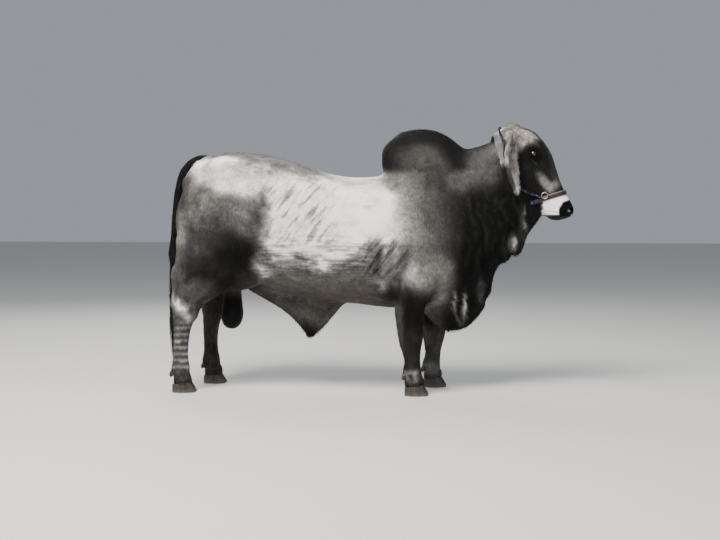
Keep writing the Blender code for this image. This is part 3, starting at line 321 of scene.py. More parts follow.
notFlesh = ("hoof", "dewclaw", "halter", "eye", "tail_switch")
skinShape = {
    "nodes": [n for n in sorted(nodes) if not n.startswith(notFlesh)],
    "swell": 0.0009, "grain": 0.0042, "quickGrain": 1.6, "rounds": 5, "faces": 115000, "headKept": 0.35,
    "longest": 0.0135,
}
nostrilShape = {
    "down": 0.590, "front": 0.022, "across": 0.043, "length": 0.021, "height": 0.0115, "depth": 0.018,
    "rim": 0.0026, "fill": 0.0215, "fillDepth": 0.012,
}
mouthShape = {"lip": (1.2855, 0.0, 1.124), "normal": (0.129, 0.0, 0.9917), "corner": 1.150, "depth": 0.0048}
fleshBulges = (
    # height, centre, radii, softness, pitch
    (0.006, (0.33, 0.28, 1.15), (0.05, 0.12, 0.22), 0.7, -8),     # ridge of the shoulder blade
    (-0.005, (0.24, 0.29, 0.98), (0.03, 0.12, 0.20), 0.8, -22),
    (0.005, (0.36, 0.29, 0.86), (0.09, 0.10, 0.10), 0.7, 0),      # upper arm
    (-0.006, (0.50, 0.24, 0.82), (0.025, 0.10, 0.14), 0.8, 15),
    (0.005, (-0.93, 0.27, 1.02), (0.10, 0.10, 0.24), 0.7, -10),   # long muscles of the thigh
    (-0.006, (-1.05, 0.25, 0.90), (0.022, 0.12, 0.22), 0.9, -6),
    (0.005, (-0.74, 0.30, 0.90), (0.06, 0.10, 0.09), 0.7, 0),     # stifle and the groove before it
    (-0.005, (-0.63, 0.30, 1.00), (0.02, 0.12, 0.18), 0.9, -12),
    (0.006, (-0.62, 0.27, 0.79), (0.10, 0.10, 0.018), 0.8, -30),  # fold of skin from the flank
)
sinews = ((0.318, 0.36), (0.428, 0.36), (-1.150, 0.44), (-1.050, 0.44))  # x and top of each
wrinkles = (
    # centre and radii, at the elbow and at the stifle
    ((0.30, 0.27, 0.66), (0.10, 0.08, 0.06)), ((-0.60, 0.25, 0.74), (0.12, 0.1, 0.08)),
)
foldShapes = {
    # height and length of the waves
    "neck": (0.0026, 0.031), "flank": (0.0022, 0.052), "ribs": (0.0012, 0.085),
    "wrinkles": (0.0016, 0.024), "brow": (0.0011, 0.016),
}


def localFrame(centre, outward, along):
    outward = outward / np.linalg.norm(outward)
    along = along - outward * (along @ outward)
    along /= np.linalg.norm(along)
    return centre, outward, along, np.cross(outward, along)


def eyeFrame(side):
    centre = headPlace(eyeShape["down"], eyeShape["front"], side * eyeShape["across"])
    way = np.array((0.30, side * 0.93, 0.10))
    centre, outward, along, up = localFrame(centre, way, headDown * 0.97 + headFront * 0.20)
    return centre, outward, along, up if up @ headFront > 0 else -up


def nostrilFrame(side):
    centre = headPlace(nostrilShape["down"], nostrilShape["front"], side * nostrilShape["across"])
    outward = headDown * 0.62 + headFront * 0.30 + np.array((0.0, side * 0.72, 0.0))
    along = headDown * -0.55 + headFront * -0.45 + np.array((0.0, side * 0.65, 0.0))
    return localFrame(centre, outward, along)


def keepLargest(piece):
    # Drops the small closed shells that the joining leaves inside
    bm = bmesh.new()
    bm.from_mesh(piece.data)
    seen, groups = set(), []
    for start in bm.verts:
        if start in seen:
            continue
        group, queue = [], [start]
        seen.add(start)
        while queue:
            v = queue.pop()
            group.append(v)
            for e in v.link_edges:
                other = e.other_vert(v)
                if other not in seen:
                    seen.add(other)
                    queue.append(other)
        groups.append(group)
    groups.sort(key=len)
    for group in groups[:-1]:
        bmesh.ops.delete(bm, geom=group, context="VERTS")
    bm.to_mesh(piece.data)
    bm.free()


def halveEdges(piece, choose, smooth):
    # Halves the edges that choose picks, and makes triangles of the faces between them
    bm = bmesh.new()
    bm.from_mesh(piece.data)
    bmesh.ops.subdivide_edges(bm, edges=choose(bm), cuts=1, smooth=smooth)
    bmesh.ops.triangulate(bm, faces=[f for f in bm.faces if len(f.verts) > 3])
    bm.to_mesh(piece.data)
    bm.free()


def refine(piece, places, radius):
    def nearPlaces(bm):
        spots = np.array([(e.verts[0].co + e.verts[1].co) / 2 for e in bm.edges])
        near = np.zeros(len(spots), bool)
        for place in places:
            near |= np.linalg.norm(spots - place, axis=1) < radius
        bm.edges.ensure_lookup_table()
        return [bm.edges[i] for i in np.flatnonzero(near)]

    halveEdges(piece, nearPlaces, 0.3)


def shapeEyes(points):
    # Lids that hug the eyeball, a crease over them, and a pit between them
    for side in sides.values():
        centre, outward, along, up = eyeFrame(side)
        offset = points - centre
        far = np.linalg.norm(offset, axis=1)
        a, b, out = offset @ along, offset @ up, offset @ outward
        length = np.where(a > 0, 1.12, 0.94) * eyeShape["halfLength"]
        height = np.where(b > 0, 1.1, 0.85) * eyeShape["halfHeight"]
        lens = np.clip(1 - (a / length) ** 2, 0.02, 1) ** 0.8
        rim = np.sqrt((a / (length * 1.25)) ** 2 + (b / (height * 1.35)) ** 2)
        near = (far < 0.07) & (out > 0)
        inside = np.where(near & (np.abs(a) < length), 1 - ease(np.abs(b) / (height * lens), 0.86, 1.10), 0)
        hug = np.where(near, 1 - ease(rim, 0.75, 1.75), 0)
        way = offset / np.maximum(far, 1e-6)[:, None]
        bulge = 0.0014 * np.exp(-((rim - 0.95) / 0.16) ** 2)
        crease = 0.0022 * np.exp(-((rim - 1.45) / 0.13) ** 2) * ease(b, 0.0, 0.006)
        lidPoint = centre + way * (eyeShape["radius"] + eyeShape["lid"] + bulge)[:, None]
        points = points + (lidPoint - points) * hug[:, None]
        points = points - outward * np.where(near, crease, 0)[:, None]
        pit = centre + way * (eyeShape["radius"] - eyeShape["pit"])
        points = points + (pit - points) * inside[:, None]
    return points


def shapeNostrils(points, normals):
    for side in sides.values():
        centre, outward, along, across = nostrilFrame(side)
        offset = points - centre
        a, b, out = offset @ along, offset @ across, offset @ outward
        b = b + 9.0 * a * a * np.sign(side)
        rim = np.sqrt((a / nostrilShape["length"]) ** 2 + (b / nostrilShape["height"]) ** 2)
        near = np.abs(out) < 0.04
        hole = np.where(near, 1 - ease(rim, 0.55, 1.08), 0)
        edge = np.where(near, np.exp(-((rim - 1.32) / 0.22) ** 2), 0)
        points = points - outward * (nostrilShape["depth"] * hole)[:, None]
        points = points + normals * (nostrilShape["rim"] * edge)[:, None]
    return points


def shapeMouth(points, normals):
    high = (points - np.array(mouthShape["lip"])) @ np.array(mouthShape["normal"])
    x, y = points[:, 0], np.abs(points[:, 1])
    place = ease(x, mouthShape["corner"] - 0.012, mouthShape["corner"] + 0.015) * (1 - ease(y, 0.09, 0.11))
    groove = np.exp(-(high / 0.0026) ** 2) * mouthShape["depth"]
    corner = blob(points, (mouthShape["corner"], 0.06, 1.140), (0.014, 0.03, 0.006), 0.6) * 0.003
    lower = np.exp(-((high + 0.011) / 0.007) ** 2) * 0.0028
    upper = np.exp(-((high - 0.010) / 0.008) ** 2) * 0.0018
    return points + normals * (place * (lower + upper - groove) - corner)[:, None]


def shapeFlesh(points):
    # How far muscles, tendons, joints and loose skin stand out along the normals
    x, y, z = points.T
    side = np.abs(y)
    warp = points + 0.03 * np.stack([softNoise(points, 0.16, s) for s in (1, 2, 3)], axis=1)
    wx, wz = warp[:, 0], warp[:, 2]

    def waves(name, mask, place):
        height, length = foldShapes[name]
        return height * mask * np.cos(2 * math.pi * place / length)

    # Fine folds down the neck and the dewlap, slanting creases on the flank, and faint ribs
    onNeck = window(x, 0.56, 0.68, 1.00, 1.10) * window(z, 0.45, 0.65, 1.36, 1.50) * ease(side, 0.02, 0.06)
    push = waves("neck", onNeck, wx + 0.62 * (wx - 0.50) * (wz - 1.0))
    push += waves("flank", blob(points, (-0.42, 0.27, 1.20), (0.20, 0.20, 0.16)), wx * 0.86 - wz * 0.50)
    push += waves("ribs", blob(points, (-0.12, 0.33, 0.98), (0.38, 0.12, 0.26)), wx + 0.25 * wz)
    for height, centre, radii, soft, pitch in fleshBulges:
        push += height * blob(points, centre, radii, soft, pitch)
    for legX, top in sinews:
        onLeg = window(z, 0.12, 0.18, top - 0.08, top) * (np.abs(x - legX) < 0.08)
        push -= 0.0030 * onLeg * np.exp(-((x - legX + 0.018) / 0.008) ** 2) * ease(side, 0.0, 0.05)
    for centre, radii in wrinkles:
        push += waves("wrinkles", blob(points, centre, radii, 0.6), wx + 0.9 * wz)
    push += 0.0010 * softNoise(points, 0.035, 11) + 0.0016 * softNoise(points, 0.09, 12)
    down, front, across = headCoords(points)
    onHead = window(down, -0.02, 0.03, 0.60, 0.66) * ease(front, -0.25, -0.16)
    push *= 1 - 0.6 * onHead
    # Face: the cheek ridge and the groove under it, and lines on the brow
    face = onHead * (np.abs(across) < 0.16)
    cheekLine = front - 0.012 + 0.05 * (down - 0.3)
    ridge = np.exp(-(cheekLine / 0.011) ** 2) * window(down, 0.22, 0.28, 0.40, 0.46)
    groove = np.exp(-((front + 0.045) / 0.018) ** 2) * window(down, 0.24, 0.30, 0.42, 0.48)
    brow = blobHead((down, front, across), (0.115, 0.085, 0.085), (0.045, 0.03, 0.05))
    return push + face * (0.003 * ridge - 0.0035 * groove) + waves("brow", face * brow, down + 0.25 * front)


def joinFlesh():
    bm = nodeCopy(skinShape["nodes"], skinShape["swell"])
    # The sockets and nostrils are filled, to be shaped anew on the finer skin
    for side in sides.values():
        centre, outward = nostrilFrame(side)[:2]
        for spot, radius in (
            (eyeFrame(side)[0], eyeShape["radius"] + eyeShape["fill"]),
            (centre - outward * nostrilShape["fillDepth"], nostrilShape["fill"]),
        ):
            bmesh.ops.create_icosphere(bm, subdivisions=3, radius=radius, matrix=Matrix.Translation(spot))
    skin = newPiece("skin", bm)
    grain = skin.modifiers.new("grain", "REMESH")
    grain.mode = "VOXEL"
    grain.voxel_size = skinShape["grain"] * 1
    grain.use_smooth_shade = True
    calm = skin.modifiers.new("calm", "SMOOTH")
    calm.factor = 0.5
    calm.iterations = skinShape["rounds"]
    applied(skin)
    print("skin joined:", len(skin.data.vertices), "points")
    return skin


def thinFlesh(skin):
    # The face and the hind shins, with the finest markings, are thinned less
    points = meshPoints(skin.data)
    down, front, _ = headCoords(points)
    fine = (down > -0.08) & (front > -0.20) & (points[:, 0] > 0.80)
    fine |= (points[:, 2] < 0.48) & (points[:, 0] < -1.05)
    group = skin.vertex_groups.new(name="thin")
    group.add(np.flatnonzero(~fine).tolist(), 1.0, "REPLACE")
    group.add(np.flatnonzero(fine).tolist(), skinShape["headKept"], "REPLACE")
    thin = skin.modifiers.new("thin", "DECIMATE")
    thin.vertex_group = "thin"
    thin.ratio = skinShape["faces"] / (2 * len(skin.data.polygons))
    applied(skin)
    skin.vertex_groups.clear()
    keepLargest(skin)


def refineFlesh(skin):
    # Finer faces round the eyes, the nostrils and the lips, and no edge too long to carry the markings
    eyes = [eyeFrame(s)[0] for s in sides.values()]
    noses = [nostrilFrame(s)[0] for s in sides.values()]
    lip = np.array(mouthShape["lip"])
    lips = [lip + np.array((-0.03 * k, s * 0.055, 0.004 * k)) for k in range(5) for s in (-1, 0, 1)]
    refine(skin, eyes + noses + lips, 0.042)
    refine(skin, eyes + noses, 0.034)
    refine(skin, eyes, 0.030)
    halveEdges(skin, lambda bm: [e for e in bm.edges if e.calc_length() > skinShape["longest"]], 0.5)
    print("skin refined:", len(skin.data.polygons), "faces")


def makeSkin():
    skin = joinFlesh()
    thinFlesh(skin)
    refineFlesh(skin)
    points, normals = meshPoints(skin.data), meshNormals(skin.data)
    points = points + normals * shapeFlesh(points)[:, None]
    points = shapeEyes(shapeNostrils(shapeMouth(points, normals), normals))
    setPoints(skin.data, points)
    skin.data.shade_smooth()
    return skin


skin = makeSkin()
print("skin shaped:", len(skin.data.polygons), "faces")


# Markings: how light and how brown the coat is, from soft patches laid one over another

rumpPatches = (
    # tone, brown, centre, radii, softness, pitch, strength
    (0.75, 0.35, (-0.86, 0.30, 1.385), (0.30, 0.22, 0.085), 0.6, 2, 0.9),       # upper rump
    (0.34, 0.25, (-1.15, 0.14, 1.24), (0.080, 0.28, 0.17), 0.6, 0, 0.9),        # point of the rump
    (0.24, 0.10, (-0.95, 0.30, 0.88), (0.21, 0.34, 0.20), 0.40, 6, 0.95),       # thigh
    (0.05, 0.03, (-0.79, 0.30, 0.86), (0.16, 0.34, 0.16), 0.55, 10, 0.97),
    (0.13, 0.08, (-0.92, 0.30, 0.72), (0.19, 0.34, 0.11), 0.45, -14, 0.95),     # foot of the thigh
    (0.60, 0.50, (-1.150, 0.26, 0.985), (0.055, 0.20, 0.125), 0.6, 0, 0.85),    # back edge of the thigh
    (0.30, 0.05, (-0.650, 0.31, 1.09), (0.034, 0.22, 0.17), 0.8, -6, 0.9),      # line down to the stifle
    (0.54, 0.10, (-0.635, 0.30, 0.90), (0.035, 0.20, 0.10), 0.7, 0, 0.8),
    (0.72, 0.12, (-0.615, 0.28, 0.785), (0.085, 0.16, 0.038), 0.6, -30, 0.95),  # light fold of the flank
)
neckPatches = (
    (0.44, 0.15, (0.67, 0.15, 1.40), (0.17, 0.18, 0.125), 0.5, 10, 0.9),        # crest
    (0.56, 0.12, (0.84, 0.05, 1.52), (0.12, 0.12, 0.05), 0.6, 15, 0.85),
    (0.52, 0.40, (0.175, 0.18, 1.365), (0.085, 0.22, 0.08), 0.7, 0, 0.9),       # foot of the hump
)
chestPatches = (
    # as above, then whether the edge wanders, and how far the mottle shows
    (0.60, 0.20, (0.43, 0.15, 0.71), (0.15, 0.24, 0.20), 0.35, 0, 1.0, True),   # grey brisket
    (0.48, 0.60, (0.44, 0.17, 0.66), (0.05, 0.15, 0.07), 0.7, 0, 0.7, True),
    (0.08, 0.00, (0.70, 0.05, 0.64), (0.085, 0.14, 0.24), 0.5, -28, 1.0, True),
    # Pale streaks down the brisket folds: painted highlights on the folds
    (0.92, 0.05, (0.566, 0.06, 0.575), (0.011, 0.12, 0.090), 0.6, 0, 0.9, False),  # pale streaks
    (0.92, 0.05, (0.628, 0.06, 0.560), (0.012, 0.12, 0.090), 0.6, 0, 0.9, False),
    (0.88, 0.05, (0.605, 0.04, 0.445), (0.018, 0.08, 0.022), 0.5, 0, 0.9, False),
    (0.48, 0.00, (0.726, 0.03, 0.650), (0.024, 0.10, 0.090), 0.6, 0, 0.9, False, 0.12),  # dewlap's edge
    (0.38, 0.05, (0.985, 0.04, 1.050), (0.036, 0.08, 0.120), 0.6, 0, 0.8, True),
    # Light patches on the dewlap's folds: painted highlights
    (0.52, 0.05, (0.925, 0.03, 0.955), (0.034, 0.08, 0.060), 0.45, 0, 0.85, False),
    (0.82, 0.05, (0.938, 0.03, 0.950), (0.016, 0.08, 0.048), 0.40, 0, 0.9, False),
    (0.74, 0.05, (1.000, 0.03, 1.085), (0.008, 0.08, 0.090), 0.6, 0, 0.9, False),
)
elbowPatches = (
    (0.76, 0.10, (0.300, 0.31, 0.770), (0.045, 0.12, 0.060), 0.5, 0, 0.9),
    (0.68, 0.10, (0.325, 0.31, 0.715), (0.085, 0.12, 0.032), 0.5, -12, 0.9),
)
facePatches = (
    # tone, brown, centre (down, front, across), radii, softness, strength, whether the edge wanders
    (0.06, 0.00, (0.190, 0.040, 0.11), (0.060, 0.042, 0.06), 0.5, 1.0, True),    # round the eye
    (0.13, 0.05, (0.255, -0.055, 0.09), (0.10, 0.07, 0.06), 0.5, 0.9, True),     # cheek
    (0.32, 0.10, (0.238, 0.020, 0.11), (0.028, 0.006, 0.05), 0.5, 0.7, False),   # line under the eye
    (0.60, 0.15, (0.370, -0.002, 0.075), (0.085, 0.030, 0.05), 0.6, 0.9, True),  # light streak
    (0.60, 0.45, (0.422, 0.030, 0.05), (0.030, 0.05, 0.08), 0.6, 0.8, True),
    (0.12, 0.10, (0.40, -0.11, 0.05), (0.12, 0.05, 0.10), 0.4, 0.9, False),      # jaw
)
backLine = (
    # x, and the height of the back there
    (-1.10, -0.84, -0.60, -0.45, -0.30, -0.15, 0.00), (1.490, 1.535, 1.495, 1.450, 1.405, 1.370, 1.365),
)
backBand = (
    # x, and the depth of the band along the back there
    (-1.10, -0.90, -0.75, -0.60, -0.45, -0.25, -0.05), (0.020, 0.035, 0.065, 0.090, 0.080, 0.050, 0.025),
)
barrelEdge = ((-0.65, -0.45, -0.20, 0.00, 0.20), (0.90, 0.80, 0.79, 0.87, 0.91))  # x, and the white's end
legColumns = ((0.318, -1), (0.424, 1))  # x of each foreleg, and its side


class Coat:
    # The points of the skin, with the tone and the brown that are laid on them so far
    def __init__(self, points, parts):
        self.points, self.parts = points, parts
        self.x, self.y, self.z = points.T
        self.side = np.abs(self.y)
        self.warp = points + 0.035 * np.stack([softNoise(points, 0.12, s) for s in (21, 22, 23)], axis=1)
        self.wx, self.wz = self.warp[:, 0], self.warp[:, 2]
        self.streakX = softNoise(points, 0.020, 31, (0.20, 0.2, 1))
        self.streakZ = softNoise(points, 0.020, 32, (1, 0.2, 0.16))
        self.mottle = softNoise(points, 0.045, 33) * 0.6 + softNoise(points, 0.018, 34) * 0.4
        self.tone = 0.91 + 0.12 * softNoise(points, 0.09, 36) + 0.09 * self.streakZ + 0.06 * self.mottle
        self.brown = np.full(len(points), 0.06)
        self.bare = np.zeros(len(points))

    def lay(self, mask, tone, brown, strength=1.0):
        mask = mask * strength
        self.tone = self.tone + (tone - self.tone) * mask
        self.brown = self.brown + (brown - self.brown) * mask

    def patch(self, tone, brown, centre, radii, soft, pitch, strength, wavy=True, grain=0.0):
        mask = blob(self.warp if wavy else self.points, centre, radii, soft, pitch)
        self.lay(mask, tone + grain * self.mottle, brown, strength)


def markBarrel(coat):
    # The white flank and its ragged lower edge, then the belly
    x, z, wz, mottle = coat.x, coat.z, coat.wz, coat.mottle
    coat.patch(0.86, 0.12, (-0.43, 0.30, 1.14), (0.30, 0.25, 0.26), 0.5, 0, 0.8)
    trunk = window(x, -0.80, -0.66, 0.24, 0.36)
    forward = ease(x, -0.12, 0.05)
    ragged = 0.10 * coat.streakX * (1 - forward) + 0.07 * coat.streakZ * forward + 0.03 * mottle
    edge = np.interp(x, *barrelEdge)
    coat.lay(trunk * (1 - ease(z + ragged, edge - 0.03, edge + 0.09)), 0.48, 0.12)
    dashes = ease(softNoise(coat.points, 0.014, 37, (0.28, 0.2, 1)), 0.25, 0.60)
    coat.lay(trunk * window(z, 0.78, 0.82, 0.93, 1.00) * dashes, 0.55, 0.05, 0.6)
    coat.lay(trunk * (1 - ease(wz + 0.02 * coat.streakX, 0.66, 0.80)), 0.47, 0.45)
    coat.lay(trunk * (1 - ease(wz, 0.58, 0.68)), 0.41, 0.60)


def markHindquarters(coat):
    x, wx, wz, mottle = coat.x, coat.wx, coat.wz, coat.mottle
    hip = (1 - ease(wx, -0.71, -0.585)) * (1 - ease(wz - 0.09 * ease(-x, 0.90, 1.05), 1.19, 1.30))
    coat.lay(hip, 0.44 + 0.10 * mottle, 0.15, 0.95)
    coat.patch(0.36, 0.10, (-0.86, 0.30, 1.10), (0.14, 0.34, 0.05), 0.6, -8, 0.8, grain=0.10)
    for values in rumpPatches:
        coat.patch(*values, grain=0.05)
    depth = np.interp(x, *backLine) - coat.z + 0.025 * mottle + 0.012 * coat.streakX
    band = 1 - ease(depth / np.interp(x, *backBand), 0.30, 1.55)
    coat.lay(band * window(x, -1.14, -0.98, -0.45, 0.02), 0.53 + 0.05 * mottle, 0.35, 0.95)


def markShoulder(coat):
    # White gives way to grey and then to black towards the neck, under a dark hump
    x, z, wx, wz, mottle, lay = coat.x, coat.z, coat.wx, coat.wz, coat.mottle, coat.lay
    start = 0.205 - 0.07 * ease(wz, 1.22, 1.36) + 0.02 * ease(0.95 - wz, 0, 0.2)
    front = wx + 0.020 * coat.streakZ
    lay(ease(front, start - 0.07, start + 0.14), 0.54, 0.28)
    lay(ease(front, start + 0.08, start + 0.26), 0.41, 0.20)
    lay(ease(front, start + 0.12, start + 0.26) * ease(coat.streakZ, 0.15, 0.60), 0.18, 0.10, 0.55)
    lay(ease(front, start + 0.22, start + 0.36), 0.24, 0.12)
    neck = ease(front + 0.14 * (1.20 - wz), 0.52, 0.68)
    lay(neck, 0.09, 0.06)
    # Lighter bands across the black neck along its folds: painted light on the folds' ridges
    folds = np.cos(2 * math.pi * (wx + 0.62 * (wx - 0.50) * (wz - 1.0)) / 0.058 + 1.5 * mottle)
    lay(neck * ease(folds, 0.55, 0.95) * window(z, 0.75, 0.85, 1.20, 1.32), 0.22, 0.05, 0.7)
    for values in neckPatches:
        coat.patch(*values)
    onHump = ease(z + 0.01 * mottle, 1.37, 1.43) * window(x, 0.06, 0.10, 0.58, 0.70)
    lay(onHump, 0.12, 0.10)
    lay(onHump * blob(coat.warp, (0.38, 0.17, 1.44), (0.155, 0.16, 0.115), 0.45), 0.35, 0.45)


def markChest(coat):
    for values in chestPatches:
        coat.patch(*values)
    # Behind the elbow the grey runs down in streaks
    low = (1 - ease(coat.wz, 0.84, 1.00)) * ease(coat.z, 0.52, 0.58)
    coat.lay(window(coat.wx, 0.03, 0.12, 0.25, 0.32) * low, 0.44 + 0.20 * coat.streakZ, 0.12, 0.85)
    coat.patch(0.74, 0.10, (0.130, 0.33, 0.715), (0.011, 0.12, 0.07), 0.8, 0, 0.9, wavy=False)


def markForelegs(coat):
    z, mottle = coat.z, coat.mottle
    for legX, sign in legColumns:
        ahead = coat.x - legX
        far = np.sqrt(((ahead + 0.02) / 1.15) ** 2 + (coat.y - 0.215 * sign) ** 2)
        leg = (1 - ease(far, 0.105, 0.150)) * (1 - ease(coat.wz + 0.3 * ahead, 0.60, 0.70))
        coat.lay(leg, 0.09, 0.05)
        coat.lay(leg * (1 - ease(z, 0.36, 0.46)), 0.27 + 0.08 * sign + 0.05 * mottle, 0.05)
        coat.lay(leg * window(z, 0.22, 0.28, 0.56, 0.62) * (1 - ease(ahead, -0.080, -0.050)), 0.40, 0.15, 0.8)
        fetlock = leg * window(z, 0.080, 0.100, 0.150, 0.175) * (1 - ease(ahead, 0.015, 0.050))
        coat.lay(fetlock * ease(mottle, -0.7, 0.0), 0.70, 0.10, 0.58 - 0.22 * sign)
    for values in elbowPatches:
        coat.patch(*values)


def markHindlegs(coat):
    # Grey, darker inside, with barred shins
    x, z, side, mottle, lay = coat.x, coat.z, coat.side, coat.mottle, coat.lay
    leg = (1 - ease(x, -0.97, -0.90)) * (1 - ease(z, 0.68, 0.76))
    lay(leg, 0.37 + 0.16 * mottle, 0.15)
    lay(leg * (1 - ease(side, 0.17, 0.215)), 0.22, 0.15, 0.9)
    coat.patch(0.90, 0.05, (-1.160, 0.26, 0.545), (0.042, 0.10, 0.085), 0.6, 25, 0.95)
    waves = np.cos(2 * math.pi * (z + 0.007 * mottle) / 0.041)
    bars = 0.48 + (0.13 + 0.09 * mottle) * waves + 0.10 * mottle
    lay(leg * window(z, 0.12, 0.15, 0.40, 0.48) * ease(side, 0.18, 0.215), bars, 0.22, 0.95)
    lay(leg * (1 - ease(z, 0.10, 0.15)), 0.26, 0.1, 0.9)


def markUnderside(coat):
    # Between the thighs, scrotum, sheath and tail
    z, parts = coat.z, coat.parts
    coat.patch(0.22, 0.9, (-0.80, 0.0, 0.72), (0.16, 0.16, 0.10), 0.6, 0, 0.8, wavy=False)
    coat.lay(parts["scrotum"], 0.09 + 0.36 * ease(z, 0.56, 0.66), 0.25 + 0.75 * ease(z, 0.52, 0.64))
    coat.lay(parts["sheath"], 0.39 + 0.08 * coat.mottle, 0.35)
    coat.patch(0.10, 0.05, (-0.365, 0.0, 0.370), (0.07, 0.10, 0.040), 0.5, 0, 1.0, wavy=False)
    coat.lay(parts["tail"], 0.13, 0.05)
    coat.bare = np.maximum(coat.bare, parts["scrotum"] * 0.8)


def markHead(coat):
    # Pale brow and poll, dark face
    onHead, lay = coat.parts["head"], coat.lay
    coords = down, headUp, _ = headCoords(coat.points)
    wavyCoords = wDown, _, wAcross = headCoords(coat.warp * 0.35 + coat.points * 0.65)
    wide = np.abs(wAcross)
    lay(onHead, 0.14, 0.06)
    lay(onHead * (1 - ease(wDown + 0.25 * wide, 0.135, 0.185)), 0.68 + 0.10 * coat.mottle, 0.50)
    lay(onHead * blobHead(coords, (-0.01, 0.085, 0.0), (0.022, 0.05, 0.03)), 0.16, 0.10, 0.9)
    lay(onHead * ease(-headUp, 0.03, 0.09) * (1 - ease(down, 0.05, 0.13)), 0.57, 0.35, 0.85)
    lay(onHead * blobHead(wavyCoords, (0.135, 0.070, 0.085), (0.05, 0.04, 0.05)), 0.64, 0.70, 0.9)
    strip = window(wDown, 0.00, 0.05, 0.42, 0.46) * (1 - ease(wide, 0.058, 0.092))
    lay(onHead * strip * ease(headUp, 0.03, 0.06), 0.31, 0.10, 0.95)
    for tone, brown, centre, radii, soft, strength, wavy in facePatches:
        lay(onHead * blobHead(wavyCoords if wavy else coords, centre, radii, soft), tone, brown, strength)


def markMuzzle(coat):
    # White ring below the strap, black nose with painted highlights beside the nostrils, painted shade in
    # dark brown under the mouth, and the dark rims of the eyes
    x, z, mottle, lay, onHead = coat.x, coat.z, coat.mottle, coat.lay, coat.parts["head"]
    fromNose = np.hypot((1.275 - np.minimum(x, 1.275)) / 0.065, (np.maximum(z, 1.14) - 1.14) / 0.075)
    nose = onHead * (1 - ease(fromNose + 0.08 * mottle, 0.93, 1.09))
    ring = ease(x + 0.012 * mottle + 0.04 * (z - 1.18), 1.086, 1.116)
    lay(onHead * ring * (1 - ease(z - 0.36 * (x - 1.10), 1.214, 1.228)), 0.97, 0.12)
    # Dark brown below the mouth line: painted shade on the chin
    lay(onHead * ease(x, 1.03, 1.08) * (1 - ease(z, 1.116, 1.130)), 0.20, 0.6, 0.95)
    lay(nose, 0.05, 0.0)
    # Small light spots beside the nostrils: painted highlights on the nose
    coat.patch(0.75, 0.0, (1.272, 0.074, 1.150), (0.012, 0.020, 0.010), 0.5, 0, 0.8, wavy=False)
    coat.bare = np.maximum(coat.bare, nose)
    for s in sides.values():
        lids = 1 - ease(np.linalg.norm(coat.points - eyeFrame(s)[0], axis=1), 0.027, 0.034)
        lay(lids, 0.05, 0.0)
        coat.bare = np.maximum(coat.bare, lids * 0.7)


def markEars(coat):
    # Pale, with painted shade along the rear edge where the ear curls, brown at the root, white at the tip
    ear, z, mottle, lay = coat.parts["ear"], coat.z, coat.mottle, coat.lay
    lay(ear, 0.74 + 0.14 * mottle, 0.20)
    lay(ear * ease(z, 1.50, 1.58), 0.52, 0.60, 0.85)
    lay(ear * (1 - ease(z, 1.285, 1.315)), 0.93, 0.05, 0.9)
    # Darker rear edge of the lower ear: painted shade where the ear curls
    rear = 1 - ease(coat.x - 0.896 - 0.30 * (1.412 - z), -0.008, 0.010)
    lay(ear * rear * (1 - ease(z, 1.41, 1.47)), 0.40 + 0.08 * mottle, 0.05, 0.7)


def coatOf(points, parts):
    # Tone from 0, black, to 1, white; brown from 0 to 1; bare is 1 where the skin shows
    coat = Coat(points, parts)
    for mark in (
        markBarrel, markHindquarters, markShoulder, markChest, markForelegs, markHindlegs, markUnderside,
        markHead, markMuzzle, markEars,
    ):
        mark(coat)
    tone = coat.tone + 4 * coat.tone * (1 - coat.tone) * (0.060 * coat.mottle + 0.035 * coat.streakZ)
    # Slanting creases, darkened as painted shade, and level streaks, drawn finely by the material where these
    # are above 0
    wx, wz = coat.wx, coat.wz
    onFlank = window(wx, -0.72, -0.55, -0.34, -0.02) * window(wz, 0.90, 1.02, 1.24, 1.40)
    atElbow = window(wx, -0.02, 0.06, 0.20, 0.30) * window(wz, 0.72, 0.80, 0.94, 1.04)
    return {
        "tone": np.clip(tone, 0.02, 1), "brown": np.clip(coat.brown, 0, 1), "bare": np.clip(coat.bare, 0, 1),
        "creases": np.maximum(onFlank, 0.9 * atElbow),
        "streaks": window(wx, -0.72, -0.60, 0.00, 0.10) * window(wz, 0.70, 0.80, 0.94, 1.06),
    }


def partsOf(points):
    # Which node of the CAD each point lies nearest to, as masks by name
    names = skinShape["nodes"]
    corners, faces, owner = [], [], []
    for k, name in enumerate(names):
        mesh = nodes[name].data
        start = len(corners)
        corners.extend(v.co for v in mesh.vertices)
        for p in mesh.polygons:
            faces.append([start + i for i in p.vertices])
            owner.append(k)
    tree = BVHTree.FromPolygons(corners, faces)
    found = np.array([owner[tree.find_nearest(p)[2]] for p in points])
    parts = {name: (found == k).astype(float) for k, name in enumerate(names)}
    parts["ear"] = parts["ear_left"] + parts["ear_right"]
    return parts


parts = partsOf(meshPoints(skin.data))
coat = coatOf(meshPoints(skin.data), parts)
for name, values in coat.items():
    addValues(skin.data, name, values)
print("markings laid")


# Paint of the coat, shared by the skin and the tufts

coatFinish = {
    "shades": (
        # shade wanted on a lit flank, and the colour that gives it
        (0.00, 0.0006), (0.06, 0.0022), (0.10, 0.0048), (0.16, 0.0098), (0.23, 0.0170), (0.30, 0.0290),
        (0.37, 0.045), (0.46, 0.070), (0.55, 0.117), (0.64, 0.185), (0.72, 0.31), (0.80, 0.52), (0.90, 0.80),
        (1.00, 0.90),
    ),
    "cast": (1.0, 0.985, 0.965), "warmth": (1.0, 0.80, 0.62), "specular": 0.07, "bump": 0.55,
    "slant": 35, "creaseSize": (0.030, 0.30, 0.17), "creaseShadeDepth": 0.24,
    "streakSize": (0.120, 0.20, 0.017), "streakDepth": 0.85,
    "alongBody": ((26.0, 150.0, 150.0), 18), "downwards": ((150.0, 150.0, 26.0), 8),
}


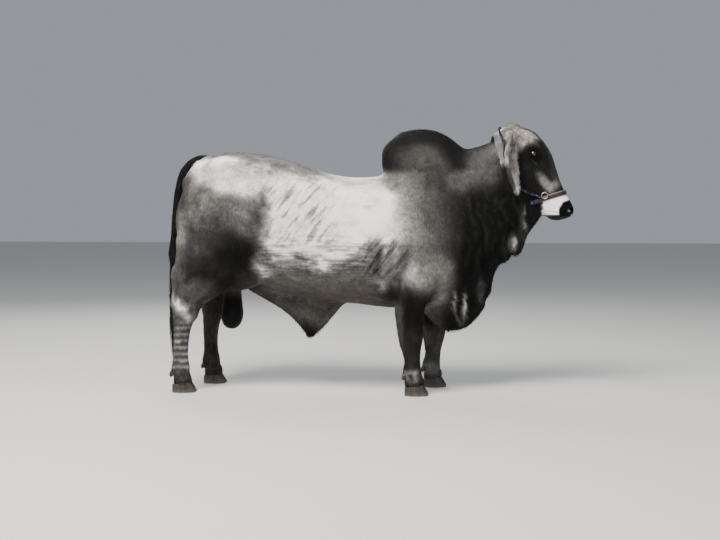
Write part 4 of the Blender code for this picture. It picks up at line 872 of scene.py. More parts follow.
def makeCoatGroup():
    group = bpy.data.node_groups.new("coatShade", "ShaderNodeTree")
    for label, value in (("Tone", 0.5), ("Brown", 0.0), ("Bare", 0.0), ("Creases", 0.0), ("Streaks", 0.0)):
        group.interface.new_socket(label, in_out="INPUT", socket_type="NodeSocketFloat").default_value = value
    for label, kind in (("Color", "Color"), ("Height", "Float"), ("Roughness", "Float")):
        group.interface.new_socket(label, in_out="OUTPUT", socket_type="NodeSocket" + kind)
    entry = group.nodes.new("NodeGroupInput").outputs
    leave = group.nodes.new("NodeGroupOutput").inputs
    paint = Paint(group)
    plus, minus, times = paint.plus, paint.minus, paint.times
    place = paint.place()
    # Strands lie along the body on the barrel, and downwards everywhere else
    ways = (coatFinish["alongBody"], coatFinish["downwards"])
    along, down = (paint.noise(paint.mapped(place, *way), 1.6, 3.0, 0.65) for way in ways)
    placeX = paint.add("SeparateXYZ", {"Vector": place}).outputs["X"]
    onBarrel = paint.calc("LESS_THAN", paint.calc("ABSOLUTE", plus(placeX, 0.25)), 0.45)
    strand = paint.mix(onBarrel, down, along, "FLOAT")
    fleck = paint.noise(place, 34.0, 6.0, 0.62)
    # Darker slanting lines where the skin creases: painted shade in the creases
    crease = paint.noise(paint.mapped(place, coatFinish["creaseSize"], coatFinish["slant"], "TEXTURE"), 1.0)
    line = paint.step(crease, 0.47, 0.68, -coatFinish["creaseShadeDepth"], "SMOOTHSTEP")
    streak = paint.noise(paint.mapped(place, coatFinish["streakSize"], 0, "TEXTURE"), 1.0, 4.0, 0.6)
    ragged = times(minus(streak, 0.5), coatFinish["streakDepth"])
    drawn = plus(times(line, entry["Creases"]), times(ragged, entry["Streaks"]))
    tone = plus(entry["Tone"], drawn)
    # The grain of the hair shows most in the greys, and not on bare skin
    room = times(times(tone, minus(1.12, tone)), 4.0)
    wave = plus(times(minus(strand, 0.5), 0.55), times(minus(fleck, 0.5), 0.42))
    shade = plus(tone, times(times(wave, room), times(minus(1.0, entry["Bare"]), 0.55)))
    marks = [(spot, [colour * c for c in coatFinish["cast"]]) for spot, colour in coatFinish["shades"]]
    grey = paint.ramp(shade, marks)
    warm = paint.mix(times(entry["Brown"], 0.85), grey, coatFinish["warmth"], blend="MULTIPLY")
    pores = paint.add("TexVoronoi", {"Vector": place, "Scale": 260.0}).outputs["Distance"]
    paint.put(leave["Color"], warm)
    paint.put(leave["Height"], paint.mix(entry["Bare"], strand, pores, "FLOAT"))
    paint.put(leave["Roughness"], minus(plus(0.58, times(strand, 0.22)), times(entry["Bare"], 0.22)))
    return group


coatGroup = makeCoatGroup()


def makeCoatPaint(name, bumpDistance, sheen):
    material, paint = newPaint(name)
    inputs = {label: paint.read(label.lower()) for label in ("Tone", "Brown", "Bare", "Creases", "Streaks")}
    shade = paint.add("Group", inputs, node_tree=coatGroup).outputs
    values = {
        "Base Color": shade["Color"], "Roughness": shade["Roughness"],
        "Specular IOR Level": coatFinish["specular"], "Sheen Weight": sheen, "Sheen Roughness": 0.45,
    }
    paint.finish(values, shade["Height"], coatFinish["bump"], bumpDistance)
    return material


finishPiece(skin, makeCoatPaint("shortCoat", 0.0016, 0.010), "light_coat", *skinShape["nodes"])


# Eyes

eyeFinish = {
    "pupil": (0.002, 0.002, 0.003), "iris": (0.030, 0.013, 0.006), "white": (0.16, 0.11, 0.09),
    "rim": (0.35, 0.42, 0.5), "pupilLength": 0.0072, "pupilHeight": 0.0042, "irisRadius": 0.0150,
    "bulge": 0.0011, "bulgeWidth": 0.012,
}


def makeEyePaint():
    material, paint = newPaint("wetEye")
    across, up = paint.read("across"), paint.read("up")

    def far(length, height):
        flat, tall = paint.calc("DIVIDE", across, length), paint.calc("DIVIDE", up, height)
        return paint.calc("SQRT", paint.plus(paint.times(flat, flat), paint.times(tall, tall)))

    fromPupil = far(eyeFinish["pupilLength"], eyeFinish["pupilHeight"])
    fromMiddle = far(eyeFinish["irisRadius"], eyeFinish["irisRadius"])
    threads = paint.times(paint.minus(paint.noise(paint.place(), 900.0), 0.5), 0.5)
    onIris = paint.step(paint.plus(fromPupil, threads), 0.85, 1.15)
    inner = paint.mix(onIris, eyeFinish["pupil"], eyeFinish["iris"])
    rim = paint.ramp(fromMiddle, ((0.80, (1, 1, 1)), (0.94, eyeFinish["rim"])))
    iris = paint.mix(1.0, inner, rim, blend="MULTIPLY")
    colour = paint.mix(paint.step(fromMiddle, 0.98, 1.10), iris, eyeFinish["white"])
    paint.finish({"Base Color": colour, "Roughness": 0.08, "Coat Weight": 1.0, "Coat Roughness": 0.03})
    return material


def makeEyes():
    material = makeEyePaint()
    for sideName, side in sides.items():
        centre, outward, along, up = eyeFrame(side)
        turn = Matrix((along, up, outward)).transposed().to_4x4()
        bm = bmesh.new()
        place = Matrix.Translation(centre) @ turn
        bmesh.ops.create_uvsphere(bm, u_segments=64, v_segments=40, radius=eyeShape["radius"], matrix=place)
        eye = newPiece("eyeball_" + sideName, bm)
        points = meshPoints(eye.data)
        offset = points - centre
        a, b, out = offset @ along, offset @ up, offset @ outward
        bulge = eyeFinish["bulge"] * np.exp(-(a ** 2 + b ** 2) / eyeFinish["bulgeWidth"] ** 2) * (out > 0)
        setPoints(eye.data, points + outward * bulge[:, None])
        if Vector(along).cross(Vector(up)).dot(Vector(outward)) < 0:
            eye.data.flip_normals()
        eye.data.shade_smooth()
        addValues(eye.data, "across", a)
        addValues(eye.data, "up", b)
        finishPiece(eye, material, "eye", "eye_" + sideName)


makeEyes()
print("eyes set")


# Hair: tapered tufts, each a bent blade of three sides, closed at its root and its tip

hairRecipes = {
    # count, length, half width, vary, lift, droop, curl, rings
    "body": (42000, 0.017, 0.0013, 0.35, 0.10, 0.02, 0.10, 3),
    "face": (9000, 0.010, 0.0009, 0.30, 0.10, 0.00, 0.10, 3),
    "poll": (2600, 0.024, 0.0012, 0.40, 0.32, 0.10, 0.45, 4),
    "earRims": (2200, 0.024, 0.0009, 0.40, 0.45, 0.30, 0.15, 4),
    "earInside": (900, 0.034, 0.0009, 0.40, 0.50, 0.30, 0.25, 5),
    "topLine": (3200, 0.020, 0.0013, 0.40, 0.24, 0.02, 0.20, 4),
    "folds": (3200, 0.022, 0.0013, 0.40, 0.22, 0.30, 0.20, 4),
    "sheathTip": (420, 0.028, 0.0014, 0.40, 0.20, 0.40, 0.15, 5),
    "coronets": (2600, 0.026, 0.0012, 0.35, 0.16, 0.25, 0.12, 4),
    "legBacks": (2600, 0.020, 0.0012, 0.40, 0.22, 0.15, 0.15, 4),
    "tailHair": (2200, 0.034, 0.0013, 0.35, 0.14, 0.20, 0.12, 4),
}
hairFinish = {
    "patch": 0.003, "flat": 0.45, "sink": 0.002, "bodyCuts": (-0.62, 0.22), "firstSeed": 100, "quickShare": 4,
}
hairPaint = makeCoatPaint("hairTufts", 0.0004, 0.03)


def unwrapShape():
    # A layout of the body's own surface, which gives each tuft its place on the bake
    piece = newPiece("layout", nodeCopy(skinShape["nodes"], skinShape["swell"]))
    bpy.context.view_layer.objects.active = piece
    piece.select_set(True)
    bpy.ops.object.mode_set(mode="EDIT")
    bpy.ops.mesh.select_all(action="SELECT")
    bpy.ops.uv.smart_project(angle_limit=math.radians(66), island_margin=0.002)
    bpy.ops.object.mode_set(mode="OBJECT")
    mesh = piece.data
    layout = np.array([loop.uv for loop in mesh.uv_layers.active.data])
    faces = [tuple(p.vertices) for p in mesh.polygons]
    starts = [p.loop_start for p in mesh.polygons]
    corners = [v.co.copy() for v in mesh.vertices]
    bpy.data.objects.remove(piece)
    return BVHTree.FromPolygons(corners, faces), corners, faces, starts, layout


def placeOnLayout(shape, roots):
    tree, corners, faces, starts, layout = shape
    spots = np.zeros((len(roots), 2))
    for k, root in enumerate(roots):
        spot, _, face, _ = tree.find_nearest(root)
        a, b, c = (corners[i] - spot for i in faces[face][:3])
        shares = (b.cross(c).length, c.cross(a).length, a.cross(b).length)
        total, first = sum(shares), starts[face]
        if total:
            spots[k] = sum(layout[first + i] * (share / total) for i, share in enumerate(shares))
        else:
            spots[k] = layout[first]
    return spots * 0.98 + 0.01


def tuftFaces(rings):
    # The sides, the root and the tip of one tuft, as the numbers of their corners
    tip = (rings - 1) * 3
    sidesOfTuft, ends = [], [(0, 1, 2)]
    for c in range(3):
        ends.append((tip - 3 + c, tip, tip - 3 + (c + 1) % 3))
    for r in range(0, tip - 3, 3):
        for c in range(3):
            d = (c + 1) % 3
            sidesOfTuft.append((r + c, r + 3 + c, r + 3 + d, r + d))
    return sidesOfTuft + ends


def hairPiece(name, spines, halves, outs, tone, brown, layoutSpots, slotName, *replaced):
    # spines is tufts x rings x 3, halves the half width at each ring, outs the way out of the skin
    count, rings = spines.shape[:2]
    along = np.gradient(spines, axis=1)
    across = unit(np.cross(along, outs[:, None, :]))
    up = unit(np.cross(across, along)) * hairFinish["flat"]
    half = halves[..., None]
    body = np.stack([spines + across * half, spines + up * half, spines - across * half], axis=2)[:, :-1]
    perTuft = (rings - 1) * 3 + 1
    points = np.concatenate([body.reshape(count, -1, 3), spines[:, -1:]], axis=1).reshape(-1, 3)
    faces = tuftFaces(rings)
    pattern = [corner for face in faces for corner in face]
    sizes = [len(face) for face in faces]
    loops = (np.arange(count)[:, None] * perTuft + np.array(pattern)).ravel()
    starts = np.concatenate([[0], np.cumsum(np.tile(sizes, count))[:-1]])
    mesh = bpy.data.meshes.new(name)
    mesh.vertices.add(len(points))
    mesh.vertices.foreach_set("co", points.astype(np.float32).ravel())
    mesh.loops.add(len(loops))
    mesh.loops.foreach_set("vertex_index", loops.astype(np.int32))
    mesh.polygons.add(len(starts))
    mesh.polygons.foreach_set("loop_start", starts.astype(np.int32))
    mesh.update()
    share = np.concatenate([np.repeat(np.arange(rings - 1), 3) / (rings - 1), [1.0]])
    wide = np.concatenate([np.tile([0.0, 0.5, 1.0], rings - 1), [0.5]])
    patch = hairFinish["patch"] * (np.stack([wide, share], axis=1) - 0.5)
    spread = (layoutSpots[:, None, :] + patch).reshape(-1, 2)
    layer = mesh.uv_layers.new(name="OFBake")
    layer.data.foreach_set("uv", spread[loops].astype(np.float32).ravel())
    addValues(mesh, "tone", np.clip(tone[:, None] + 0.05 * (share - 0.4), 0.01, 1))
    addValues(mesh, "brown", np.repeat(brown, perTuft))
    addValues(mesh, "bare", np.zeros(len(points)))
    mesh.shade_smooth()
    piece = bpy.data.objects.new(name, mesh)
    bpy.context.scene.collection.objects.link(piece)
    finishPiece(piece, hairPaint, slotName, *replaced)
    return piece


class Ground:
    # The skin as arrays, to pick the roots of tufts on
    def __init__(self, mesh):
        mesh.calc_loop_triangles()
        self.faces = readValues(mesh.loop_triangles, "vertices", 3, np.int32)
        self.points, self.normals = meshPoints(mesh), meshNormals(mesh)
        a, b, c = (self.points[self.faces[:, i]] for i in range(3))
        self.areas = np.linalg.norm(np.cross(b - a, c - a), axis=1) / 2

    def pick(self, weights, count, seed):
        rng = np.random.default_rng(seed)
        chance = self.areas * weights[self.faces].mean(axis=1)
        chosen = rng.choice(len(self.faces), count, p=chance / chance.sum())
        self.shares = rng.dirichlet((1, 1, 1), count)
        self.corners = self.faces[chosen]
        return self.at(self.points), unit(self.at(self.normals)), rng

    def at(self, values):
        picked = values[self.corners]
        shares = self.shares[..., None] if picked.ndim == 3 else self.shares
        return (picked * shares).sum(axis=1)


def lieOf(points, normals, parts):
    # The way the hair lies: back and down on the body, down on the legs, down the face
    x, _, z = points.T
    low = 1 - ease(z, 0.62, 0.80)
    neck = ease(x, 0.45, 0.75) * ease(z, 0.5, 0.7)
    way = np.tile(np.array((-0.85, 0.0, -0.50)), (len(points), 1))
    for mask, lie in (
        (low, (-0.12, 0.0, -1.0)), (neck, (-0.45, 0.0, -0.85)), (parts["head"], headDown),
        (parts["ear"], (0.10, 0.0, -1.0)), (parts["tail"], (-0.1, 0.0, -1.0)),
        (parts["sheath"], (-0.3, 0.0, -1.0)),
    ):
        way = way * (1 - mask)[:, None] + np.array(lie) * mask[:, None]
    return unit(way - normals * (way * normals).sum(axis=1, keepdims=True))


def tuftLines(roots, normals, lies, rng, length, vary, lift, droop, curl, rings):
    # Spines that rise from the skin by lift and bend back to it or down
    count = len(roots)
    sink = hairFinish["sink"]
    long = length * (1 + vary * rng.uniform(-1, 1, count))
    turn = rng.normal(0, 0.16 + curl, count)
    sideways = np.cross(normals, lies)
    way = unit(lies * np.cos(turn)[:, None] + sideways * np.sin(turn)[:, None])
    share = np.linspace(0, 1, rings)[None, :, None]
    rise = (lift * (1 + 0.4 * rng.uniform(-1, 1, count)))[:, None, None]
    reach = long[:, None, None]
    bend = (curl * rng.uniform(-1, 1, count))[:, None, None]
    spines = roots[:, None] - normals[:, None] * sink + way[:, None] * reach * share * (1 - 0.3 * rise)
    spines = spines + normals[:, None] * (sink * share + reach * rise * (share - 0.45 * share ** 2))
    spines = spines + sideways[:, None] * reach * bend * share ** 2
    spines[:, :, 2] -= droop * (long[:, None] * share[..., 0] ** 2)
    return spines


def sharpness(mesh, normals):
    # How far each point's normal differs from its neighbours': high on rims
    edges = readValues(mesh.edges, "vertices", 2, np.int32)
    apart = 1 - (normals[edges[:, 0]] * normals[edges[:, 1]]).sum(axis=1)
    total, count = np.zeros(len(normals)), np.zeros(len(normals))
    for end in (0, 1):
        np.add.at(total, edges[:, end], apart)
        np.add.at(count, edges[:, end], 1)
    return total / np.maximum(count, 1)


def hairZones(mesh, points, normals, parts, bare):
    # How thickly each kind of tuft stands at each point of the skin
    x, y, z = points.T
    side = np.abs(y)
    down, front, _ = headCoords(points)
    furred = 1 - bare
    ear, head, tail, sheath = parts["ear"], parts["head"], parts["tail"], parts["sheath"]
    eyes = np.min([np.linalg.norm(points - eyeFrame(s)[0], axis=1) for s in sides.values()], axis=0)
    mouth = np.abs((points - np.array(mouthShape["lip"])) @ np.array(mouthShape["normal"]))
    face = head * ease(down, 0.06, 0.12) * ease(eyes, 0.032, 0.042)
    face = face * (1 - (1 - ease(mouth, 0.004, 0.012)) * ease(x, 1.13, 1.15))
    cup = ease(normals[:, 0] * 0.8 + normals[:, 1] * np.sign(y) * 0.6, 0.5, 0.8)
    above = ease(normals[:, 2], 0.75, 0.95) * ease(z, 1.28, 1.33)
    return {
        "body": furred * (1 - head) * (1 - ear) * (1 - tail) * (1 - parts["scrotum"]),
        "face": face * furred,
        "poll": head * (1 - ease(down, 0.06, 0.12)) * ease(front, -0.08, 0.0),
        "earRims": ear * ease(sharpness(mesh, normals), 0.035, 0.09) * (1 - ease(z, 1.50, 1.56)),
        "earInside": ear * cup * window(z, 1.30, 1.36, 1.50, 1.58),
        "topLine": above * (1 - head) * (1 - ear) * (1 - ease(side, 0.10, 0.16)),
        "folds": parts["dewlap"] * (1 - ease(side, 0.03, 0.07)) + sheath * (1 - ease(z, 0.42, 0.50)) * 0.8,
        "sheathTip": sheath * (1 - ease(z, 0.362, 0.382)),
        "coronets": (1 - ease(z, 0.085, 0.105)) * furred,
        "legBacks": window(z, 0.10, 0.14, 0.42, 0.50) * ease(-normals[:, 0], 0.5, 0.8) * (1 - tail),
        "tailHair": tail,
    }


def growCoat(skin, parts, coat):
    shape = unwrapShape()
    ground = Ground(skin.data)
    lies = lieOf(ground.points, ground.normals, parts)
    zones = hairZones(skin.data, ground.points, ground.normals, parts, coat["bare"])
    first, second = hairFinish["bodyCuts"]
    faces = 0
    for seed, (zone, weights) in enumerate(zones.items(), hairFinish["firstSeed"]):
        count, length, half, vary, lift, droop, curl, rings = hairRecipes[zone]
        roots, ways, rng = ground.pick(np.clip(weights, 0, 1), count, seed)
        lie = unit(ground.at(lies))
        if zone == "earRims":
            lie = unit(lie + 0.35 * ways)
        spines = tuftLines(roots, ways, lie, rng, length, vary, lift, droop, curl, rings)
        taper = 1.0 - 0.75 * np.linspace(0, 1, rings) ** 2
        halves = half * (0.75 + 0.5 * rng.random(count))[:, None] * taper
        tone = ground.at(coat["tone"]) + rng.normal(0, 0.022, count)
        tone = tone + 0.05 * rng.choice((-1, 1), count) * rng.random(count) ** 3
        values = (spines, halves, ways, tone, ground.at(coat["brown"]), placeOnLayout(shape, roots))
        groups = {"": np.ones(count, bool)}
        if zone == "body":
            x = roots[:, 0]
            groups = {"_rear": x < first, "_barrel": (x >= first) & (x < second), "_front": x >= second}
        for ending, chosen in groups.items():
            piece = hairPiece("coat_" + zone + ending, *(v[chosen] for v in values), "light_coat")
            faces += len(piece.data.polygons)
    print("coat grown:", faces, "faces")
    return shape


layoutShape = growCoat(skin, parts, coat)


# Switch of the tail

switchShape = {
    "x": -1.2735, "strands": 420, "rings": 12, "seed": 77, "half": 0.0021, "core": 0.011, "spread": 0.036,
    "start": (0.50, 0.84), "length": (0.22, 0.46), "ends": (0.0, 0.08), "depth": (0.35, 1.0),
}


def makeSwitch():
    rng = np.random.default_rng(switchShape["seed"])
    count = switchShape["strands"]
    start = rng.uniform(*switchShape["start"], count)
    length = rng.uniform(*switchShape["length"], count)
    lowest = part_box("tail_switch")[0].z + rng.uniform(*switchShape["ends"], count)
    end = np.maximum(start - length, lowest)
    turn = rng.uniform(0, 2 * math.pi, count)
    share = np.linspace(0, 1, switchShape["rings"])
    depth = rng.uniform(*switchShape["depth"], count)
    spread = switchShape["spread"] * depth[:, None] * np.sin(np.pi * np.clip(share * 1.02, 0, 1)) ** 0.8
    radius = switchShape["core"] * (1 - 0.6 * share) + spread * 0.62
    twist = turn[:, None] + 0.5 * np.sin(3.0 * share + turn[:, None])
    wave = 0.004 * np.sin(9 * share + 5 * turn[:, None])
    spines = np.stack([
        switchShape["x"] + radius * np.cos(twist) * 0.75 + wave, radius * np.sin(twist) + wave,
        start[:, None] + (end - start)[:, None] * share,
    ], axis=2)
    outs = np.stack([np.cos(turn), np.sin(turn), np.zeros(count)], axis=1)
    halves = switchShape["half"] * (0.7 + 0.6 * rng.random(count))[:, None] * (1 - 0.85 * share ** 1.5)
    tone = np.clip(0.10 + rng.normal(0, 0.03, count), 0.02, 0.3)
    spots = placeOnLayout(layoutShape, spines[:, 0])
    brown = np.full(count, 0.1)
    hairPiece("switch_hair", spines, halves, outs, tone, brown, spots, "switch_hair", "tail_switch")


makeSwitch()
print("switch hung")


# Hooves and dewclaws: worn horn with rings of growth

hornFinish = {
    "dark": (0.020, 0.017, 0.015), "light": (0.105, 0.085, 0.066), "ringHeight": 0.0062, "dustTop": 0.030,
    "bevel": 0.0035, "segments": 3,
}


def makeHornPaint():
    material, paint = newPaint("ringedHorn")
    plus, times = paint.plus, paint.times
    place = paint.place()
    split = paint.add("SeparateXYZ", {"Vector": place}).outputs
    # Rings lie level with the coronet, a little higher at the toe
    level = plus(plus(split["Z"], times(split["X"], -0.14)), times(paint.noise(place, 22.0, 3.0), 0.010))
    rings = paint.calc("SINE", times(level, 2 * math.pi / hornFinish["ringHeight"]))
    streaks = paint.noise(paint.mapped(place, (1.0, 1.0, 0.12)), 90.0, 4.0)
    amount = plus(times(rings, 0.10), streaks)
    dust = paint.step(split["Z"], hornFinish["dustTop"], 0.0, 0.35)
    colour = paint.ramp(plus(amount, dust), ((0.40, hornFinish["dark"]), (0.95, hornFinish["light"])))
    values = {"Base Color": colour, "Roughness": plus(times(streaks, 0.35), 0.28), "Specular IOR Level": 0.35}
    paint.finish(values, amount, 0.5, 0.0008)
    return material


def makeHorn():
    material = makeHornPaint()
    for name, start in (("hooves", "hoof"), ("dewclaws", "dewclaw")):
        names = [n for n in sorted(nodes) if n.startswith(start)]
        horn = newPiece(name, nodeCopy(names))
        bevel = horn.modifiers.new("bevel", "BEVEL")
        bevel.width = hornFinish["bevel"]
        bevel.segments = hornFinish["segments"]
        bevel.limit_method = "ANGLE"
        bevel.angle_limit = math.radians(38)
        bevel.harden_normals = False
        applied(horn)
        horn.data.shade_smooth()
        horn.data.set_sharp_from_angle(angle=math.radians(50))
        finishPiece(horn, material, "horn", *names)


makeHorn()
print("hooves set")


# Halter: a leather noseband with a tan edge, a twisted rope and two rings

halterShape = {
    "down": 0.462, "normal": (0.943, -0.331), "width": 0.026, "thick": 0.0052, "lift": 0.0012, "points": 120,
    "reach": 0.14, "trim": 0.0026, "ropeRadius": 0.0078, "strands": 3, "twist": 0.048, "facets": 9,
    "ringRadius": 0.019, "wire": 0.0034, "boundBehind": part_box("halter_ring_right")[0].x + 0.004,
}
ropeGuide = (
    # down, front, across of the rope from the ring up to behind the poll
    (0.436, -0.080, 0.11), (0.405, -0.108, 0.12), (0.350, -0.132, 0.13), (0.285, -0.150, 0.15),
    (0.210, -0.165, 0.17), (0.130, -0.160, 0.18), (0.055, -0.130, 0.18), (-0.015, -0.085, 0.15),
    (-0.060, -0.045, 0.10),
)
strapProfile = (
    # across, out
    (1, 0.25), (0.97, 0.62), (0.88, 0.90), (0.74, 0.96), (0.5, 1), (0, 1.02), (-0.5, 1), (-0.74, 0.96),
    (-0.88, 0.90), (-0.97, 0.62), (-1, 0.25), (-0.95, 0), (0, -0.02), (0.95, 0),
)
strapFinish = {
    "leather": (0.016, 0.0050, 0.0055), "worn": (0.042, 0.015, 0.013), "thread": (0.15, 0.11, 0.08),
}
trimFinish = {"light": (0.34, 0.25, 0.17), "dark": (0.15, 0.10, 0.065)}
ropeFinish = {"navy": (0.003, 0.0035, 0.010), "blue": (0.008, 0.010, 0.032), "fleck": (0.34, 0.36, 0.42)}
ringFinish = {"bright": (0.55, 0.54, 0.52), "dull": (0.16, 0.13, 0.10)}


def sweptPiece(name, rings, values, closed=True):
    # A body through rings of points, open or closed along its length, with values kept at its points
    bm = bmesh.new()
    for strand in rings:
        loops = [[bm.verts.new(p) for p in ring] for ring in strand]
        following = loops[1:] + (loops[:1] if closed else [])
        for one, two in zip(loops, following):
            for i in range(len(one)):
                j = (i + 1) % len(one)
                bm.faces.new((one[i], one[j], two[j], two[i]))
        if not closed:
            bm.faces.new(loops[0])
            bm.faces.new(loops[-1])
    bmesh.ops.recalc_face_normals(bm, faces=bm.faces)
    piece = newPiece(name, bm)
    for label, numbers in values.items():
        addValues(piece.data, label, numbers)
    return piece


def skinLoop(tree, middle, normal, halfWidth, count):
    # The loop that a tight strap would follow: the hull of three sections of the head
    first = np.array((0.0, 1.0, 0.0))
    second = np.cross(normal, first)
    angles = np.linspace(0, 2 * math.pi, count, endpoint=False)
    found = []
    for level in (-halfWidth, 0.0, halfWidth):
        for t in angles:
            way = first * math.cos(t) + second * math.sin(t)
            hit = tree.ray_cast(Vector(middle + normal * level), Vector(way), halterShape["reach"])[0]
            if hit is not None:
                offset = np.array(hit) - middle
                found.append((float(offset @ first), float(offset @ second)))
    reach = [max(a * math.cos(t) + b * math.sin(t) for a, b in found) for t in angles]
    # The outline that touches every one of those tangent lines
    slope = (np.roll(reach, -1) - np.roll(reach, 1)) / 2 / (2 * math.pi / count)
    loop = np.array([
        middle + first * (r * math.cos(t) - d * math.sin(t)) + second * (r * math.sin(t) + d * math.cos(t))
        for r, d, t in zip(reach, slope, angles)
    ])
    for _ in range(6):
        loop = (np.roll(loop, 1, axis=0) + loop * 2 + np.roll(loop, -1, axis=0)) / 4
    return loop


def strapRings(loop, normal, level, halfWidth, thick, lift, profile):
    out = unit(np.cross(np.roll(loop, -1, axis=0) - np.roll(loop, 1, axis=0), normal))
    out = out * np.sign((out * (loop - loop.mean(axis=0))).sum(axis=1, keepdims=True))
    return [
        [p + normal * (level + halfWidth * a) + way * (lift + thick * b) for a, b in profile]
        for p, way in zip(loop, out)
    ]


def makeStrapPaint():
    material, paint = newPaint("wornLeather")
    calc, plus, times = paint.calc, paint.plus, paint.times
    along, across, place = paint.read("along"), paint.read("across"), paint.place()
    wide = calc("ABSOLUTE", across)
    grain = paint.add("TexVoronoi", {"Vector": place, "Scale": 900.0}).outputs["Distance"]
    wear = paint.noise(place, 60.0, 5.0)
    amount = times(plus(calc("POWER", wide, 6.0), 0.35), wear)
    leather = paint.mix(amount, strapFinish["leather"], strapFinish["worn"])
    # A row of stitches near each edge
    row = calc("LESS_THAN", calc("ABSOLUTE", paint.minus(wide, 0.74)), 0.045)
    stitch = times(row, calc("LESS_THAN", calc("FRACT", times(along, 210.0)), 0.62))
    sewn = paint.mix(stitch, leather, strapFinish["thread"])
    # Behind the rings the strap is bound in blue cord with a few pale flecks
    turns = calc("SINE", times(plus(along, times(across, 0.004)), 1400.0))
    cord = paint.mix(plus(times(turns, 0.5), 0.5), ropeFinish["navy"], ropeFinish["blue"])
    flecked = paint.mix(calc("GREATER_THAN", wear, 0.66), cord, ropeFinish["fleck"])
    placeX = paint.add("SeparateXYZ", {"Vector": place}).outputs["X"]
    colour = paint.mix(calc("LESS_THAN", placeX, halterShape["boundBehind"]), sewn, flecked)
    rough = plus(times(wear, 0.3), 0.32)
    paint.finish({"Base Color": colour, "Roughness": rough}, plus(times(grain, 0.5), stitch), distance=0.0006)
    return material


def makeNoisePaint(name, low, high, scale, rough, metal=0.0, distance=0.0004):
    material, paint = newPaint(name)
    noise = paint.noise(paint.place(), scale, 5.0)
    values = {"Base Color": paint.mix(noise, low, high), "Metallic": metal}
    values["Roughness"] = paint.plus(paint.times(noise, 0.3), rough)
    paint.finish(values, noise, distance=distance)
    return material


def makeRopePaint():
    material, paint = newPaint("twistedRope")
    spot = {"X": paint.times(paint.read("along"), 260.0), "Y": paint.times(paint.read("across"), 5.0)}
    vector = paint.add("CombineXYZ", spot).outputs["Vector"]
    yarn = paint.add("TexVoronoi", {"Vector": vector, "Scale": 0.8}).outputs
    chance = paint.add("SeparateXYZ", {"Vector": yarn["Color"]}).outputs["X"]
    fibre = paint.noise(paint.place(), 1400.0)
    blue = paint.mix(fibre, ropeFinish["navy"], ropeFinish["blue"])
    colour = paint.mix(paint.calc("GREATER_THAN", chance, 0.93), blue, ropeFinish["fleck"])
    values = {"Base Color": colour, "Roughness": 0.7, "Specular IOR Level": 0.15}
    paint.finish(values, paint.plus(yarn["Distance"], fibre), 0.6, 0.0008)
    return material


def calmed(path):
    path[1:-1] = (path[:-2] + path[1:-1] * 2 + path[2:]) / 4


def evenly(path, count):
    # The path again, with points at even steps, and how far along each of them is
    length = np.concatenate([[0], np.cumsum(np.linalg.norm(np.diff(path, axis=0), axis=1))])
    even = np.linspace(0, length[-1], count)
    return even, np.stack([np.interp(even, length, path[:, k]) for k in range(3)], axis=1)


def ropePath(tree):
    lift = halterShape["ropeRadius"] + halterShape["lift"]
    guide = [headPlace(d, f, -w) for d, f, w in ropeGuide] + [headPlace(-0.085, -0.010)]
    guide += [headPlace(d, f, w) for d, f, w in reversed(ropeGuide)]
    spots = evenly(np.array(guide), 90)[1]
    for i, p in enumerate(spots):
        place, normal = tree.find_nearest(p)[:2]
        spots[i] = np.array(place + normal * lift)
    calmed(spots)
    for _ in range(9):
        for i, p in enumerate(spots):
            place, normal = tree.find_nearest(p)[:2]
            clear = (Vector(p) - place).dot(normal)
            if clear < lift:
                spots[i] = np.array(Vector(p) + normal * (lift - clear))
        calmed(spots)
    return evenly(spots, 460)


def makeRope(tree):
    along, path = ropePath(tree)
    for _ in range(3):
        calmed(path)
    first, second = np.zeros_like(path), np.zeros_like(path)
    up = np.array((0.0, 0.0, 1.0))
    for i, way in enumerate(unit(np.gradient(path, axis=0))):
        first[i] = unit(np.cross(way, up))
        second[i] = up = np.cross(first[i], way)

    def around(turn):
        # Unit steps out of the path at the given turn round it
        return first * np.cos(turn)[..., None] + second * np.sin(turn)[..., None]

    facets, strands = halterShape["facets"], halterShape["strands"]
    core, thick = halterShape["ropeRadius"] * 0.52, halterShape["ropeRadius"] * 0.56
    rings, alongs, turns = [], [], []
    for strand in range(strands):
        phase = 2 * math.pi * (along / halterShape["twist"] + strand / strands)
        middle = path + core * around(phase)
        angles = [2 * math.pi * k / facets for k in range(facets)]
        rings.append(np.stack([middle + thick * around(np.full(len(path), a)) for a in angles], axis=1))
        alongs.append(np.repeat(along + 0.4 * strand, facets))
        turns.append(np.cos(np.array(angles)[None, :] - phase[:, None] * 0.5))
    values = {"along": np.concatenate(alongs), "across": np.concatenate(turns)}
    rope = sweptPiece("rope_strands", rings, values, closed=False)
    finishPiece(rope, makeRopePaint(), "halter_rope", "halter_rope")


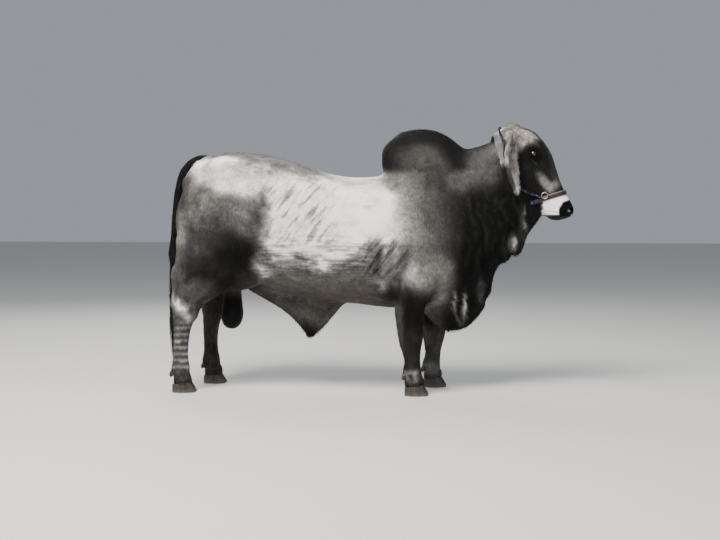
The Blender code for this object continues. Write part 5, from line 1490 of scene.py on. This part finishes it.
def makeNoseband(tree):
    normal = headDown * halterShape["normal"][0] + headFront * halterShape["normal"][1]
    half, trim, lift = halterShape["width"] / 2, halterShape["trim"], halterShape["lift"]
    loop = skinLoop(tree, headPlace(halterShape["down"], -0.04), normal, half, halterShape["points"])
    length = np.cumsum(np.linalg.norm(loop - np.roll(loop, 1, axis=0), axis=1))
    rings = strapRings(loop, normal, 0.0, half, halterShape["thick"], lift, strapProfile)
    across = [a for _ in rings for a, b in strapProfile]
    strap = sweptPiece("noseband", [rings], {"along": np.repeat(length, len(strapProfile)), "across": across})
    finishPiece(strap, makeStrapPaint(), "halter_strap", "halter_noseband")
    circle = [(math.cos(t), 0.5 + 0.5 * math.sin(t)) for t in np.linspace(0, 2 * math.pi, 10, endpoint=False)]
    rings = strapRings(loop, normal, -half - trim * 0.80, trim, trim * 1.5, lift * 0.6, circle)
    # The tan edge ends at the rings
    inFront = loop[:, 0] > halterShape["boundBehind"]
    start = int(np.flatnonzero(inFront & ~np.roll(inFront, 1))[0])
    rings = rings[start:] + rings[:start]
    edge = sweptPiece("noseband_trim", [rings[:int(inFront.sum())]], {}, closed=False)
    tan = makeNoisePaint("tanTrim", trimFinish["dark"], trimFinish["light"], 160.0, 0.6)
    finishPiece(edge, tan, "halter_strap")


def makeRings(tree):
    metal = makeNoisePaint("dullSteel", ringFinish["dull"], ringFinish["bright"], 120.0, 0.22, 1.0, 0.0002)
    for sideName in sides:
        low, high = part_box("halter_ring_" + sideName)
        spot = (low + high) / 2
        bm = bmesh.new()
        section = Matrix.Translation((halterShape["ringRadius"], 0, 0)) @ Matrix.Rotation(math.pi / 2, 4, "X")
        wire = bmesh.ops.create_circle(bm, segments=14, radius=halterShape["wire"], matrix=section)["verts"]
        edges = list({e for v in wire for e in v.link_edges})
        bmesh.ops.spin(
            bm, geom=[*wire, *edges], cent=(0, 0, 0), axis=(0, 0, 1), angle=2 * math.pi, steps=56,
            use_merge=True,
        )
        bmesh.ops.remove_doubles(bm, verts=bm.verts, dist=0.00001)
        turn = tree.find_nearest(spot)[1].to_track_quat("Z", "Y").to_matrix().to_4x4()
        bmesh.ops.transform(bm, matrix=Matrix.Translation(spot) @ turn, verts=bm.verts)
        bmesh.ops.recalc_face_normals(bm, faces=bm.faces)
        ring = newPiece("halter_hoop_" + sideName, bm)
        finishPiece(ring, metal, "ring_metal", "halter_ring_" + sideName)


skinTree = BVHTree.FromPolygons([v.co for v in skin.data.vertices], [p.vertices for p in skin.data.polygons])
makeNoseband(skinTree)
makeRope(skinTree)
makeRings(skinTree)
print("halter hung")

bpy.context.view_layer.update()
